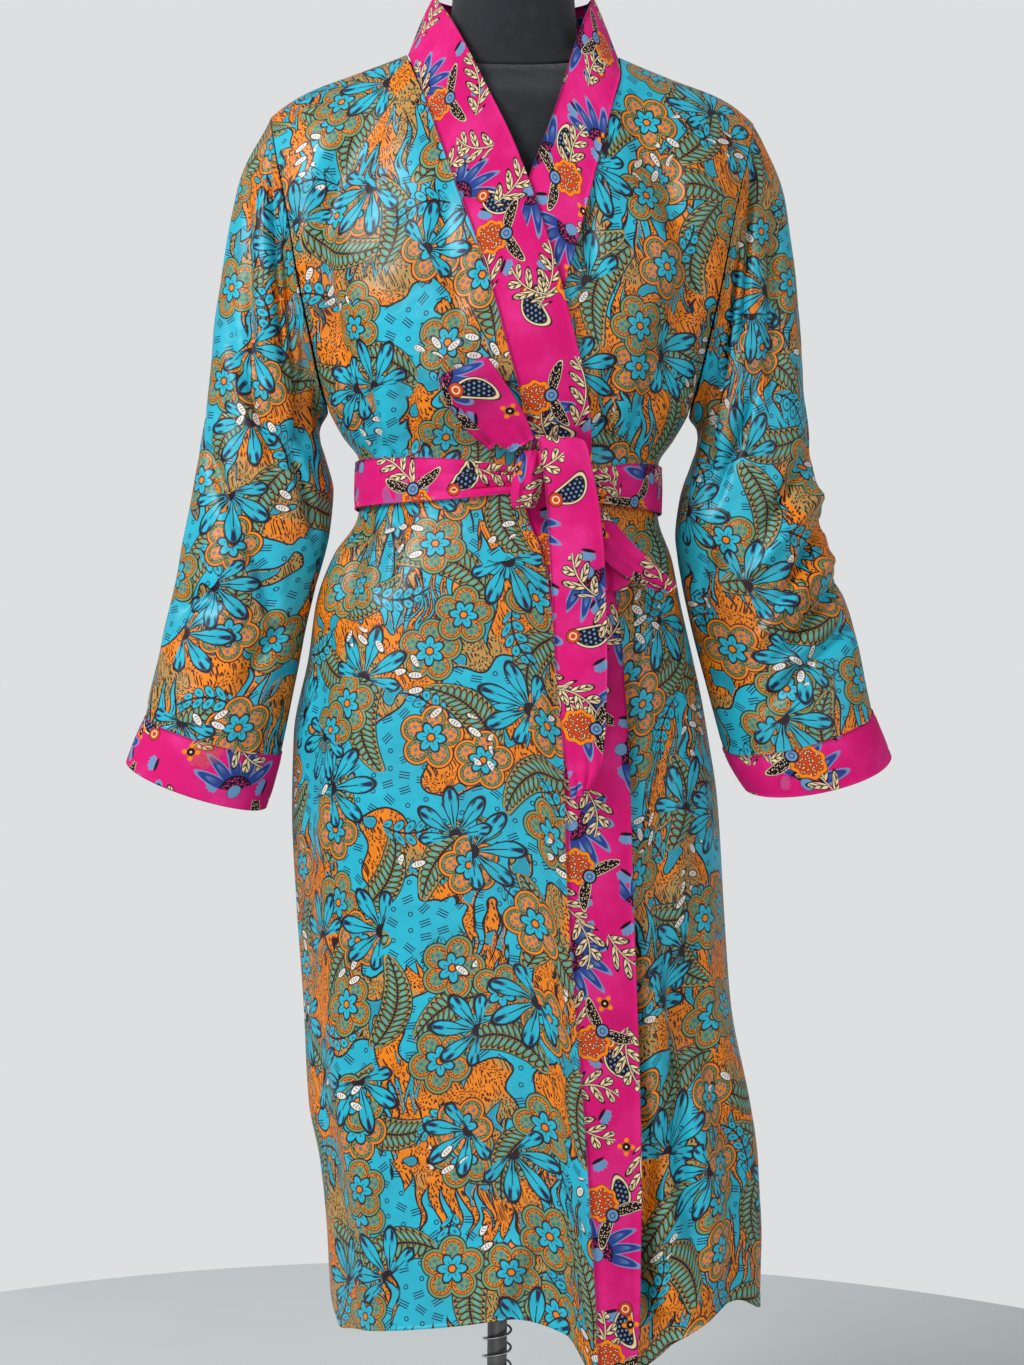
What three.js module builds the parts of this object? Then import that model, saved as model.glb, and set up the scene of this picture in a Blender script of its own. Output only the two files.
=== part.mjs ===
// Kimono robe with a velvet front band and tied belt, worn by a limbless dress form on its stand.
// Millimetres. +X is the viewer's right, -Y the front, +Z up. The stand's foot is at the origin.

import * as THREE from "three";

// Cloth
const SATIN = 1.2;
const VELVET = 2.4;
const SEAM_GAP = 0.35;
// Room for the band's thickness where it turns up beside the neck
const BAND_TURN = 2.4;
// How far the wearer's right front lies above the left one where they overlap
const OVERLAP_LIFT = 4.8;

// Shoulders and neck
const UNDERARM_Z = 1085;
const SHOULDER_ROLL_FRONT = 92;
const SHOULDER_ROLL_BACK = 84;
const NECK_HALF_WIDTH = 102;
const NECK_DEPTH_BACK = 82;
const SECTION_POWER = 2.35;

// Mesh counts
const YOKE_ROWS = 10;
const FRONT_COLUMNS = 14;
const BACK_COLUMNS = 20;
const BACK_SHOULDER_COLUMNS = 5;
const SLEEVE_SEGMENTS = 2 * YOKE_ROWS;

// Robe sections: height, left edge, right edge, depth to the front, depth to the back.
const ROBE = [
  { z: 180, left: -138, right: 247, front: 150, back: 133 },
  { z: 240, left: -160, right: 250, front: 150, back: 133 },
  { z: 300, left: -163, right: 250, front: 149, back: 133 },
  { z: 366, left: -172, right: 246, front: 148, back: 132 },
  { z: 420, left: -184, right: 240, front: 146, back: 132 },
  { z: 520, left: -191, right: 221, front: 143, back: 132 },
  { z: 615, left: -199, right: 213, front: 140, back: 131 },
  { z: 710, left: -204, right: 206, front: 137, back: 130 },
  { z: 773, left: -203, right: 196, front: 134, back: 130 },
  { z: 850, left: -189, right: 180, front: 129, back: 126 },
  { z: 900, left: -182, right: 168, front: 123, back: 118 },
  { z: 945, left: -166, right: 159, front: 116, back: 107 },
  { z: 986, left: -143, right: 145, front: 108, back: 92 },
  { z: 1012, left: -141, right: 143, front: 108, back: 91 },
  { z: 1039, left: -143, right: 145, front: 109, back: 92 },
  { z: 1060, left: -158, right: 158, front: 120, back: 102 },
  { z: 1085, left: -172, right: 172, front: 128, back: 106 },
  { z: 1150, left: -198, right: 198, front: 132.5, back: 111 },
  { z: 1206, left: -218, right: 218, front: 128, back: 112 },
  { z: 1277, left: -240, right: 240, front: 112, back: 109 },
  { z: 1330, left: -252, right: 252, front: 94, back: 101 },
  { z: 1380, left: -262, right: 262, front: 80, back: 93 },
  { z: 1480, left: -262, right: 262, front: 62, back: 86 },
];

// Shoulder line: distance from the middle and height of the ridge.
const SHOULDER = [
  { x: 0, z: 1476 },
  { x: 50, z: 1456 },
  { x: 100, z: 1431 },
  { x: 150, z: 1411 },
  { x: 200, z: 1391 },
  { x: 232, z: 1369 },
  { x: 260, z: 1330 },
];

// Armhole seam: height and distance from the middle.
const ARMHOLE = [
  { z: 1085, x: 172 },
  { z: 1100, x: 176 },
  { z: 1160, x: 189 },
  { z: 1206, x: 199 },
  { z: 1277, x: 212 },
  { z: 1330, x: 224 },
  { z: 1369, x: 232 },
];

// Wearer's right band, worn on top: height of the row at the seam and at the free edge.
const BAND_RIGHT = [
  { seamX: -102, seamZ: 1429, freeX: -76, freeZ: 1488, freeY: 0 },
  { seamX: -97, seamZ: 1412, freeX: -65, freeZ: 1468, freeY: 29 },
  { seamX: -86, seamZ: 1384, freeX: -49, freeZ: 1437, freeY: 52 },
  { seamX: -71, seamZ: 1342, freeX: -25, freeZ: 1386, freeY: 75 },
  { seamX: -52, seamZ: 1288, freeX: 1, freeZ: 1330, freeY: 93 },
  { seamX: -33, seamZ: 1238, freeX: 23, freeZ: 1270 },
  { seamX: -14, seamZ: 1180, freeX: 43, freeZ: 1206 },
  { seamX: 0, seamZ: 1130, freeX: 58, freeZ: 1150 },
  { seamX: 12, seamZ: 1084, freeX: 71, freeZ: 1096 },
  { seamX: 15, seamZ: 1040, freeX: 75, freeZ: 1046 },
  { seamX: 15, seamZ: 1004, freeX: 76, freeZ: 1004 },
  { seamX: 20, seamZ: 975, freeX: 81, freeZ: 975 },
  { seamX: 30, seamZ: 950, freeX: 90, freeZ: 950 },
  { seamX: 41, seamZ: 895, freeX: 101, freeZ: 895 },
  { seamX: 48, seamZ: 820, freeX: 108, freeZ: 820 },
  { seamX: 54, seamZ: 750, freeX: 113, freeZ: 750 },
  { seamX: 58, seamZ: 645, freeX: 117, freeZ: 645 },
  { seamX: 66, seamZ: 545, freeX: 122, freeZ: 545 },
  { seamX: 75, seamZ: 449, freeX: 127, freeZ: 449 },
  { seamX: 82, seamZ: 360, freeX: 130, freeZ: 360 },
  { seamX: 88, seamZ: 279, freeX: 130, freeZ: 279 },
  { seamX: 93, seamZ: 192, freeX: 127, freeZ: 190 },
];

// Wearer's left band: shows at the neck, then lies under the right front.
const BAND_LEFT = [
  { seamX: 102, seamZ: 1429, freeX: 76, freeZ: 1488, freeY: 0 },
  { seamX: 103, seamZ: 1406, freeX: 68, freeZ: 1462, freeY: 31 },
  { seamX: 95, seamZ: 1372, freeX: 56, freeZ: 1420, freeY: 57 },
  { seamX: 84, seamZ: 1326, freeX: 42, freeZ: 1368, freeY: 79 },
  { seamX: 65, seamZ: 1247, freeX: 14, freeZ: 1285 },
  { seamX: 50, seamZ: 1190, freeX: -6, freeZ: 1216 },
  { seamX: 35, seamZ: 1135, freeX: -24, freeZ: 1154 },
  { seamX: 20, seamZ: 1084, freeX: -40, freeZ: 1096 },
  { seamX: 2, seamZ: 1040, freeX: -58, freeZ: 1046 },
  { seamX: -8, seamZ: 1004, freeX: -68, freeZ: 1004 },
  { seamX: -24, seamZ: 950, freeX: -84, freeZ: 950 },
  { seamX: -40, seamZ: 880, freeX: -100, freeZ: 880 },
  { seamX: -52, seamZ: 750, freeX: -110, freeZ: 750 },
  { seamX: -58, seamZ: 645, freeX: -114, freeZ: 645 },
  { seamX: -64, seamZ: 545, freeX: -118, freeZ: 545 },
  { seamX: -70, seamZ: 449, freeX: -120, freeZ: 449 },
  { seamX: -72, seamZ: 360, freeX: -120, freeZ: 360 },
  { seamX: -70, seamZ: 279, freeX: -115, freeZ: 279 },
  { seamX: -66, seamZ: 240, freeX: -108, freeZ: 240 },
];

// Band behind the neck: position along the neckline and the free edge above it.
const BAND_NECK = [
  { seamTurn: 0, freeX: -76, freeY: 0, freeZ: 1488 },
  { seamTurn: 0.18, freeX: -74, freeY: 26, freeZ: 1491 },
  { seamTurn: 0.34, freeX: -57, freeY: 50, freeZ: 1492 },
  { seamTurn: 0.5, freeX: 0, freeY: 72, freeZ: 1490 },
  { seamTurn: 0.66, freeX: 57, freeY: 50, freeZ: 1492 },
  { seamTurn: 0.82, freeX: 74, freeY: 26, freeZ: 1491 },
  { seamTurn: 1, freeX: 76, freeY: 0, freeZ: 1488 },
];

// Hem height by position across the front, and one level for the back.
const HEM_FRONT = [
  { x: -160, z: 205 },
  { x: -110, z: 226 },
  { x: -20, z: 243 },
  { x: 16, z: 249 },
  { x: 62, z: 236 },
  { x: 93, z: 193 },
  { x: 130, z: 200 },
  { x: 165, z: 223 },
  { x: 225, z: 250 },
  { x: 250, z: 236 },
];
const HEM_BACK = [
  { x: -160, z: 205 },
  { x: -60, z: 226 },
  { x: 60, z: 230 },
  { x: 160, z: 222 },
  { x: 250, z: 236 },
];

// Largest folds of the skirt: direction round the body in turns from the left side by the front,
// width in turns, depth, and the heights between which the fold runs.
const SKIRT_FOLDS = [
  { turn: 0.075, width: 0.03, depth: 7, low: 180, high: 560 },
  { turn: 0.3, width: 0.022, depth: 6, low: 180, high: 760 },
  { turn: 0.365, width: 0.018, depth: -6, low: 180, high: 900 },
  { turn: 0.41, width: 0.018, depth: 8, low: 180, high: 880 },
  { turn: 0.455, width: 0.02, depth: -5, low: 180, high: 640 },
  { turn: 0.56, width: 0.03, depth: 9, low: 180, high: 720 },
  { turn: 0.66, width: 0.034, depth: 10, low: 180, high: 860 },
  { turn: 0.76, width: 0.03, depth: 10, low: 180, high: 800 },
  { turn: 0.86, width: 0.034, depth: 9, low: 180, high: 760 },
  { turn: 0.95, width: 0.026, depth: 7, low: 180, high: 640 },
];

// Sleeve sections after the armhole: outer point, inner point, middle's distance forward,
// half depth, and how far the front edge hangs below the back one.
const SLEEVE_RIGHT = [
  { outX: -262, outZ: 1304, inX: -183, inZ: 1066, forward: 0, depth: 58, drop: 0 },
  { outX: -275, outZ: 1238, inX: -177, inZ: 1040, forward: 3, depth: 55, drop: 0 },
  { outX: -283, outZ: 1170, inX: -169, inZ: 1008, forward: 8, depth: 52, drop: 1 },
  { outX: -288, outZ: 1100, inX: -171, inZ: 974, forward: 13, depth: 50, drop: 2 },
  { outX: -298, outZ: 1022, inX: -178, inZ: 934, forward: 18, depth: 49, drop: 3 },
  { outX: -310, outZ: 950, inX: -190, inZ: 884, forward: 23, depth: 48, drop: 4 },
  { outX: -325, outZ: 876, inX: -201, inZ: 828, forward: 27, depth: 47, drop: 6 },
  { outX: -342, outZ: 790, inX: -214, inZ: 757, forward: 30, depth: 46, drop: 8 },
];
const SLEEVE_LEFT = [
  { outX: 260, outZ: 1306, inX: 184, inZ: 1066, forward: 0, depth: 58, drop: 0 },
  { outX: 272, outZ: 1246, inX: 178, inZ: 1040, forward: 3, depth: 55, drop: 0 },
  { outX: 280, outZ: 1175, inX: 167, inZ: 1004, forward: 8, depth: 52, drop: 1 },
  { outX: 285, outZ: 1098, inX: 163, inZ: 968, forward: 13, depth: 50, drop: 3 },
  { outX: 297, outZ: 1014, inX: 169, inZ: 926, forward: 18, depth: 49, drop: 6 },
  { outX: 312, outZ: 945, inX: 180, inZ: 876, forward: 22, depth: 49, drop: 9 },
  { outX: 334, outZ: 880, inX: 194, inZ: 824, forward: 26, depth: 47, drop: 12 },
  { outX: 350, outZ: 803, inX: 210, inZ: 766, forward: 30, depth: 46, drop: 16 },
];
const CUFF_RIGHT = [
  { outX: -342.1, outZ: 789.5, inX: -214.1, inZ: 756.5, forward: 30, depth: 46, drop: 8 },
  { outX: -351, outZ: 767, inX: -221, inZ: 730, forward: 31, depth: 46, drop: 9 },
  { outX: -359, outZ: 746, inX: -228, inZ: 705, forward: 32, depth: 47, drop: 10 },
];
const CUFF_LEFT = [
  { outX: 350.1, outZ: 802.5, inX: 210.1, inZ: 765.5, forward: 30, depth: 46, drop: 16 },
  { outX: 359, outZ: 781, inX: 220, inZ: 747, forward: 31, depth: 46, drop: 17 },
  { outX: 368, outZ: 760, inX: 231, inZ: 730, forward: 32, depth: 46, drop: 18 },
];

// Soft wrinkles of the sleeves: turn from the outer point by the front, place along, size, depth.
const SLEEVE_FOLDS = [
  { side: -1, turn: 0.12, along: 0.3, wide: 0.05, long: 0.3, depth: 3 },
  { side: -1, turn: 0.3, along: 0.62, wide: 0.06, long: 0.22, depth: 2.5 },
  { side: -1, turn: 0.75, along: 0.5, wide: 0.06, long: 0.3, depth: 3.5 },
  { side: 1, turn: 0.16, along: 0.34, wide: 0.05, long: 0.26, depth: 3 },
  { side: 1, turn: 0.1, along: 0.78, wide: 0.16, long: 0.035, depth: 4 },
  { side: 1, turn: 0.13, along: 0.9, wide: 0.16, long: 0.03, depth: 3.5 },
  { side: 1, turn: 0.72, along: 0.6, wide: 0.07, long: 0.25, depth: 3.5 },
];

// Belt round the waist: turn round the body, centre height, half height, extra distance outwards.
const BELT_WAIST = [
  { turn: 0.258, z: 1013, half: 10, out: 7.4 },
  { turn: 0.24, z: 1013, half: 13, out: 7.4 },
  { turn: 0.2, z: 1013, half: 18, out: 7.2 },
  { turn: 0.13, z: 1013, half: 21, out: 7.2 },
  { turn: 0.03, z: 1013, half: 22, out: 4.4 },
  { turn: -0.1, z: 1012, half: 22, out: 3.5 },
  { turn: -0.25, z: 1011, half: 22, out: 3.5 },
  { turn: -0.4, z: 1012, half: 22, out: 3.5 },
  { turn: -0.53, z: 1012, half: 22, out: 3.8 },
  { turn: -0.62, z: 1011, half: 20, out: 7.4 },
  { turn: -0.668, z: 1009, half: 15, out: 8.8 },
  { turn: -0.71, z: 1010, half: 11, out: 8.8 },
  { turn: -0.728, z: 1011, half: 9, out: 8.8 },
];
const BELT_COLUMNS = 46;

// Stretches of the tied belt. Each row: middle of the strip, half width vector, all from the front.
const LOOP_UPPER = [
  { x: 13.2, y: -136, z: 1043, hx: 11, hz: 6 },
  { x: 0, y: -142, z: 1058, hx: 17, hz: 10 },
  { x: -18, y: -149, z: 1080, hx: 21, hz: 12 },
  { x: -33, y: -154, z: 1100, hx: 23, hz: 11 },
  { x: -41, y: -152, z: 1111, hx: 23, hz: 10 },
  { x: -43, y: -145, z: 1110, hx: 23, hz: 10 },
  { x: -36, y: -139.6, z: 1092, hx: 22, hz: 11 },
  { x: -22, y: -136.1, z: 1070, hx: 19, hz: 12 },
  { x: -6, y: -131, z: 1047, hx: 12, hz: 8 },
];
const TAIL_FRONT = [
  { x: 42.8, y: -134.6, z: 1050, hx: 19, hz: -1 },
  { x: 49, y: -141, z: 1046, hx: 21, hz: -1 },
  { x: 54, y: -144, z: 1026, hx: 21.5, hz: 0 },
  { x: 60, y: -146, z: 990, hx: 23, hz: 1 },
  { x: 64, y: -147, z: 945, hx: 24, hz: 2 },
  { x: 67, y: -147, z: 900, hx: 24, hz: 2 },
  { x: 69, y: -147, z: 850, hx: 23, hz: 2 },
  { x: 72, y: -149, z: 790, hx: 20, hz: 0 },
  { x: 73, y: -150, z: 748, hx: 14, hz: 3 },
  { x: 70, y: -150, z: 724, hx: 6, hz: 4 },
];
const TAIL_SIDE = [
  { x: 84, y: -129, z: 970, hx: 4, hz: 15 },
  { x: 102, y: -126, z: 949, hx: 6, hz: 14 },
  { x: 128, y: -117, z: 929, hx: 6, hz: 9 },
  { x: 153, y: -104, z: 914, hx: 3, hz: 3 },
];
const LOOP_LOWER = [
  { x: 88, y: -115.6, z: 968, hx: 12, hz: 1 },
  { x: 96, y: -118.3, z: 948, hx: 15, hz: 1 },
  { x: 99, y: -118, z: 925, hx: 14.5, hz: 1 },
  { x: 98, y: -116.5, z: 912, hx: 12, hz: 0 },
];
const KNOT = { x: 19, y: -129.3, z: 1012, halfX: 15, halfY: 12, halfZ: 26, lean: 4 };

// Dress form: height, half width, depth to the front, depth to the back.
const FORM = [
  { z: 742, half: 166, front: 98, back: 106 },
  { z: 760, half: 172, front: 104, back: 113 },
  { z: 800, half: 172, front: 108, back: 116 },
  { z: 860, half: 162, front: 106, back: 112 },
  { z: 930, half: 142, front: 98, back: 96 },
  { z: 1000, half: 130, front: 92, back: 82 },
  { z: 1060, half: 137, front: 103, back: 90 },
  { z: 1110, half: 146, front: 116, back: 96 },
  { z: 1155, half: 154, front: 122, back: 100 },
  { z: 1210, half: 162, front: 114, back: 104 },
  { z: 1270, half: 172, front: 100, back: 103 },
  { z: 1320, half: 180, front: 86, back: 96 },
  { z: 1355, half: 183, front: 78, back: 90 },
  { z: 1378, half: 180, front: 74, back: 86 },
  { z: 1392, half: 168, front: 66, back: 84 },
  { z: 1402, half: 150, front: 63, back: 80 },
  { z: 1412, half: 124, front: 60, back: 75 },
  { z: 1420, half: 98, front: 57, back: 69 },
  { z: 1427, half: 76, front: 54, back: 64 },
];
const FORM_CLEARANCE_FRONT = 0.1;
const FORM_CLEARANCE_BACK = 6.1;
// Extra room for the form beside the neckline, where the band stands
const NECK_ROOM = 10;
const FORM_COLUMNS = 34;
const NECK = [
  { z: 1427.4, half: 75.6, front: 53.6, back: 63.6 },
  { z: 1440, half: 66, front: 53, back: 61 },
  { z: 1462, half: 61, front: 53, back: 59 },
  { z: 1505, half: 58, front: 51, back: 57 },
  { z: 1528, half: 57, front: 50, back: 56 },
  { z: 1534, half: 52, front: 46, back: 51 },
];
// The neck seam dips towards the front
const NECK_TILT = 0.3;

const POLE_RADIUS = 9.5;
const HUB_TOP = 96;
const SPRING = { radius: 13.4, wire: 1.3, low: 96.3, high: 300, turns: 12, steps: 10, sides: 5 };
const BASE_PROFILE = [
  [0, 0],
  [176, 0],
  [180, 4],
  [180, 10],
  [172, 16],
  [90, 30],
  [40, 44],
  [24, 60],
  [19, 96],
  [0, 96],
];

const clamp = (value, low, high) => Math.min(high, Math.max(low, value));
const smooth = (low, high, value) => {
  const t = clamp((value - low) / (high - low), 0, 1);
  return t * t * (3 - 2 * t);
};

// Smooth reading of one column of a table at a place along its key column
function read(table, key, column, at) {
  const rising = table[table.length - 1][key] > table[0][key];
  const rows = rising ? table : [...table].reverse();
  const place = clamp(at, rows[0][key], rows[rows.length - 1][key]);
  let i = 0;
  while (i < rows.length - 2 && place > rows[i + 1][key]) i += 1;
  const value = (k) => rows[clamp(k, 0, rows.length - 1)][column];
  const stop = (k) => rows[clamp(k, 0, rows.length - 1)][key];
  const span = stop(i + 1) - stop(i);
  const slope = (k) => {
    const before = stop(k) - stop(k - 1);
    const after = stop(k + 1) - stop(k);
    const a = before > 0 ? (value(k) - value(k - 1)) / before : 0;
    const b = after > 0 ? (value(k + 1) - value(k)) / after : 0;
    if (before <= 0) return b;
    if (after <= 0) return a;
    return a * b <= 0 ? 0 : (2 * a * b) / (a + b);
  };
  const t = (place - stop(i)) / span;
  const t2 = t * t;
  const t3 = t2 * t;
  return (
    (2 * t3 - 3 * t2 + 1) * value(i) +
    (t3 - 2 * t2 + t) * span * slope(i) +
    (-2 * t3 + 3 * t2) * value(i + 1) +
    (t3 - t2) * span * slope(i + 1)
  );
}

// One row of a table at a fraction of its length
function readAlong(table, fraction) {
  const rows = keyed(table);
  const place = fraction * (table.length - 1);
  const result = {};
  for (const column of Object.keys(table[0])) {
    result[column] = read(rows, "index", column, place);
  }
  return result;
}

const shoulderZ = (x) => read(SHOULDER, "x", "z", Math.abs(x));
const edges = (z) => {
  const left = read(ROBE, "z", "left", z);
  const right = read(ROBE, "z", "right", z);
  return { middle: (left + right) / 2, half: (right - left) / 2 };
};

// Depth of the robe's inner face at a place across and up, towards the front (-1) or the back (1)
function depthAt(x, z, face) {
  const { middle, half } = edges(z);
  const across = clamp(Math.abs(x - middle) / half, 0, 1);
  const profile = (1 - across ** SECTION_POWER) ** (1 / SECTION_POWER);
  const depth = read(ROBE, "z", face < 0 ? "front" : "back", z);
  const roll = face < 0 ? SHOULDER_ROLL_FRONT : SHOULDER_ROLL_BACK;
  const below = z > UNDERARM_Z ? clamp((shoulderZ(x) - z) / roll, 0, 1) : 1;
  return depth * profile * Math.sqrt(1 - (1 - below) ** 2);
}

// Fold depth round the skirt
function skirtFold(turn, z) {
  let sum = 0;
  for (const fold of SKIRT_FOLDS) {
    let away = turn - fold.turn;
    away -= Math.round(away);
    const run = smooth(fold.high, fold.low + 0.35 * (fold.high - fold.low), z);
    sum -= fold.depth * run * Math.exp(-((away / fold.width) ** 2));
  }
  return sum;
}

// Turns round the section: 0 at the left side, 0.25 in front, 0.5 at the right side, 0.75 behind
function sectionPoint(turn, z, out) {
  const { middle, half } = edges(z);
  const angle = Math.PI * (1 - 2 * turn);
  const c = Math.cos(angle);
  const s = Math.sin(angle);
  const x = middle + half * Math.sign(c) * Math.abs(c) ** (2 / SECTION_POWER);
  const face = s >= 0 ? -1 : 1;
  const depth = read(ROBE, "z", face < 0 ? "front" : "back", z);
  const y = face * depth * Math.abs(s) ** (2 / SECTION_POWER);
  const push = out + skirtFold(turn, z);
  const length = Math.hypot(c / half, s / depth);
  return new THREE.Vector3(x + (push * c) / half / length, y - (push * s) / depth / length, z);
}

// The turn at which the section passes a place across
function turnAt(x, z, face) {
  const { middle, half } = edges(z);
  const across = clamp((x - middle) / half, -1, 1);
  const c = Math.sign(across) * Math.abs(across) ** (SECTION_POWER / 2);
  const angle = Math.acos(c);
  return face < 0 ? (Math.PI - angle) / (2 * Math.PI) : (Math.PI + angle) / (2 * Math.PI);
}

const bandFree = (z) => read(BAND_LEFT, "freeZ", "freeX", z);
const bandSeam = (band, z) => read(band, "seamZ", "seamX", z);
const topLift = (z) => OVERLAP_LIFT * smooth(1400, 1320, z);

// Lift of the wearer's right front above the left one
function rightLift(x, z) {
  const end = Math.min(bandSeam(BAND_RIGHT, z), bandFree(z)) - 20;
  return topLift(z) * smooth(end - 44, end, x);
}

// Point of a front panel or band at a place across and up
function frontPoint(x, z, out) {
  if (z >= UNDERARM_Z) return new THREE.Vector3(x, -depthAt(x, z, -1) - out, z);
  return sectionPoint(turnAt(x, z, -1), z, out);
}

// A closed sheet: its inner face is a grid of points, its outer face the same moved outwards
function sheet(name, grid, thickness, options = {}) {
  const rows = grid.length;
  const columns = grid[0].length;
  const closed = Boolean(options.closed);
  const at = (i, j) => grid[clamp(i, 0, rows - 1)][closed ? (j + columns) % columns : clamp(j, 0, columns - 1)];
  const points = [];
  for (const face of [0, 1]) {
    for (let i = 0; i < rows; i += 1) {
      for (let j = 0; j < columns; j += 1) {
        const along = at(i + 1, j).clone().sub(at(i - 1, j));
        const across = at(i, j + 1).clone().sub(at(i, j - 1));
        const normal = along.cross(across).normalize();
        if (options.flip) normal.negate();
        const given = options.normalAt ? options.normalAt(i, j, normal) : normal;
        points.push(at(i, j).clone().addScaledVector(given, face * thickness));
      }
    }
  }
  const index = [];
  const id = (face, i, j) => face * rows * columns + i * columns + (closed ? j % columns : j);
  const quad = (a, b, c, d) => index.push(a, b, c, a, c, d);
  const spans = closed ? columns : columns - 1;
  for (let i = 0; i < rows - 1; i += 1) {
    for (let j = 0; j < spans; j += 1) {
      quad(id(1, i, j), id(1, i + 1, j), id(1, i + 1, j + 1), id(1, i, j + 1));
      quad(id(0, i, j), id(0, i, j + 1), id(0, i + 1, j + 1), id(0, i + 1, j));
    }
  }
  for (let j = 0; j < spans; j += 1) {
    quad(id(0, 0, j), id(1, 0, j), id(1, 0, j + 1), id(0, 0, j + 1));
    quad(id(0, rows - 1, j), id(0, rows - 1, j + 1), id(1, rows - 1, j + 1), id(1, rows - 1, j));
  }
  if (!closed) {
    for (let i = 0; i < rows - 1; i += 1) {
      quad(id(0, i, 0), id(0, i + 1, 0), id(1, i + 1, 0), id(1, i, 0));
      quad(id(0, i, columns - 1), id(1, i, columns - 1), id(1, i + 1, columns - 1), id(0, i + 1, columns - 1));
    }
  }
  return solid(name, points, index, options.flip);
}

// A closed body through rings of points, with flat ends
function loft(name, rings) {
  const count = rings[0].length;
  const points = rings.flat();
  const index = [];
  for (let i = 0; i < rings.length - 1; i += 1) {
    for (let j = 0; j < count; j += 1) {
      const k = (j + 1) % count;
      const a = i * count + j;
      const b = i * count + k;
      index.push(a, b, b + count, a, b + count, a + count);
    }
  }
  for (const [start, turned] of [[0, true], [(rings.length - 1) * count, false]]) {
    const middle = new THREE.Vector3();
    for (let j = 0; j < count; j += 1) middle.addScaledVector(points[start + j], 1 / count);
    const centre = points.push(middle) - 1;
    for (let j = 0; j < count; j += 1) {
      const k = (j + 1) % count;
      if (turned) index.push(centre, start + k, start + j);
      else index.push(centre, start + j, start + k);
    }
  }
  return solid(name, points, index, false);
}

function solid(name, points, index, flip) {
  const geometry = new THREE.BufferGeometry();
  geometry.setAttribute("position", new THREE.Float32BufferAttribute(points.flatMap((p) => p.toArray()), 3));
  if (flip) {
    for (let i = 0; i < index.length; i += 3) [index[i + 1], index[i + 2]] = [index[i + 2], index[i + 1]];
  }
  geometry.setIndex(index);
  // Faces must point outwards, so a body that comes out inside out is turned
  let volume = 0;
  for (let i = 0; i < index.length; i += 3) {
    const [a, b, c] = [points[index[i]], points[index[i + 1]], points[index[i + 2]]];
    volume += a.dot(b.clone().cross(c));
  }
  if (volume < 0) {
    for (let i = 0; i < index.length; i += 3) [index[i + 1], index[i + 2]] = [index[i + 2], index[i + 1]];
    geometry.setIndex(index);
  }
  geometry.computeVertexNormals();
  const mesh = new THREE.Mesh(geometry, new THREE.MeshStandardMaterial({ name, color: COLOURS[name.split("_")[0]] }));
  mesh.name = name;
  return mesh;
}

const COLOURS = {
  robe: 0x4fb0bc,
  sleeve: 0xd98a3a,
  cuff: 0xd0246e,
  band: 0xd0246e,
  belt: 0xb81e60,
  form: 0x26292e,
  stand: 0x55595e,
};

// Height at a row of the yoke: rows close up at the shoulder, where the cloth rolls over
function yokeZ(x, start, row) {
  const top = shoulderZ(x);
  const s = start + (1 - start) * row;
  return top - (top - UNDERARM_Z) * s * s;
}

// Place of the armhole at a row of the yoke
function armholeAt(row) {
  let z = 1369;
  let x = 232;
  for (let k = 0; k < 8; k += 1) {
    x = read(ARMHOLE, "z", "x", z);
    z = yokeZ(x, 0, row);
  }
  return { x: row === 1 ? edges(UNDERARM_Z).half : x, z };
}

// Heights of the rows below the armhole, closer at the waist
const LOWER_ROWS = [1060, 1039, 1012, 986, 960, 930, 890, 845, 795, 740, 680, 615, 550, 490, 430, 375, 320, 270];

// One front: columns run from its side seam to its band
function frontPanel(side, band, lift) {
  const grid = [];
  const gap = side * SEAM_GAP;
  for (let r = 0; r <= YOKE_ROWS; r += 1) {
    const row = r / YOKE_ROWS;
    const arm = armholeAt(row);
    let seam = side * NECK_HALF_WIDTH;
    for (let k = 0; k < 8; k += 1) {
      seam = bandSeam(band, yokeZ(seam, 0, row));
    }
    const line = [];
    for (let c = 0; c <= FRONT_COLUMNS; c += 1) {
      const a = c / FRONT_COLUMNS;
      if (r === YOKE_ROWS) {
        const from = turnAt(side * arm.x, UNDERARM_Z, -1) - side * 0.0006;
        const to = turnAt(seam + gap, UNDERARM_Z, -1);
        const turn = from + (to - from) * a;
        const flat = sectionPoint(turn, UNDERARM_Z, 0);
        line.push(sectionPoint(turn, UNDERARM_Z, lift(flat.x, UNDERARM_Z)));
      } else {
        const x = side * arm.x + (seam + gap - side * arm.x) * a;
        const z = yokeZ(x, 0, row);
        const point = new THREE.Vector3(x, -depthAt(x, z, -1) - lift(x, z), z);
        if (r === 0) point.y -= SEAM_GAP / 2;
        line.push(point);
      }
    }
    grid.push(line);
  }
  for (const level of [...LOWER_ROWS, 0]) {
    const line = [];
    for (let c = 0; c <= FRONT_COLUMNS; c += 1) {
      const a = c / FRONT_COLUMNS;
      const at = (z) => {
        const from = (side < 0 ? 0 : 0.5) - side * 0.0006;
        const to = turnAt(bandSeam(band, z) + gap, z, -1);
        return from + (to - from) * a;
      };
      let z = level;
      if (level === 0) {
        z = 230;
        for (let k = 0; k < 4; k += 1) z = read(HEM_FRONT, "x", "z", sectionPoint(at(z), z, 0).x);
      }
      const flat = sectionPoint(at(z), z, 0);
      line.push(sectionPoint(at(z), z, lift(flat.x, z)));
    }
    grid.push(line);
  }
  return grid;
}

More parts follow.
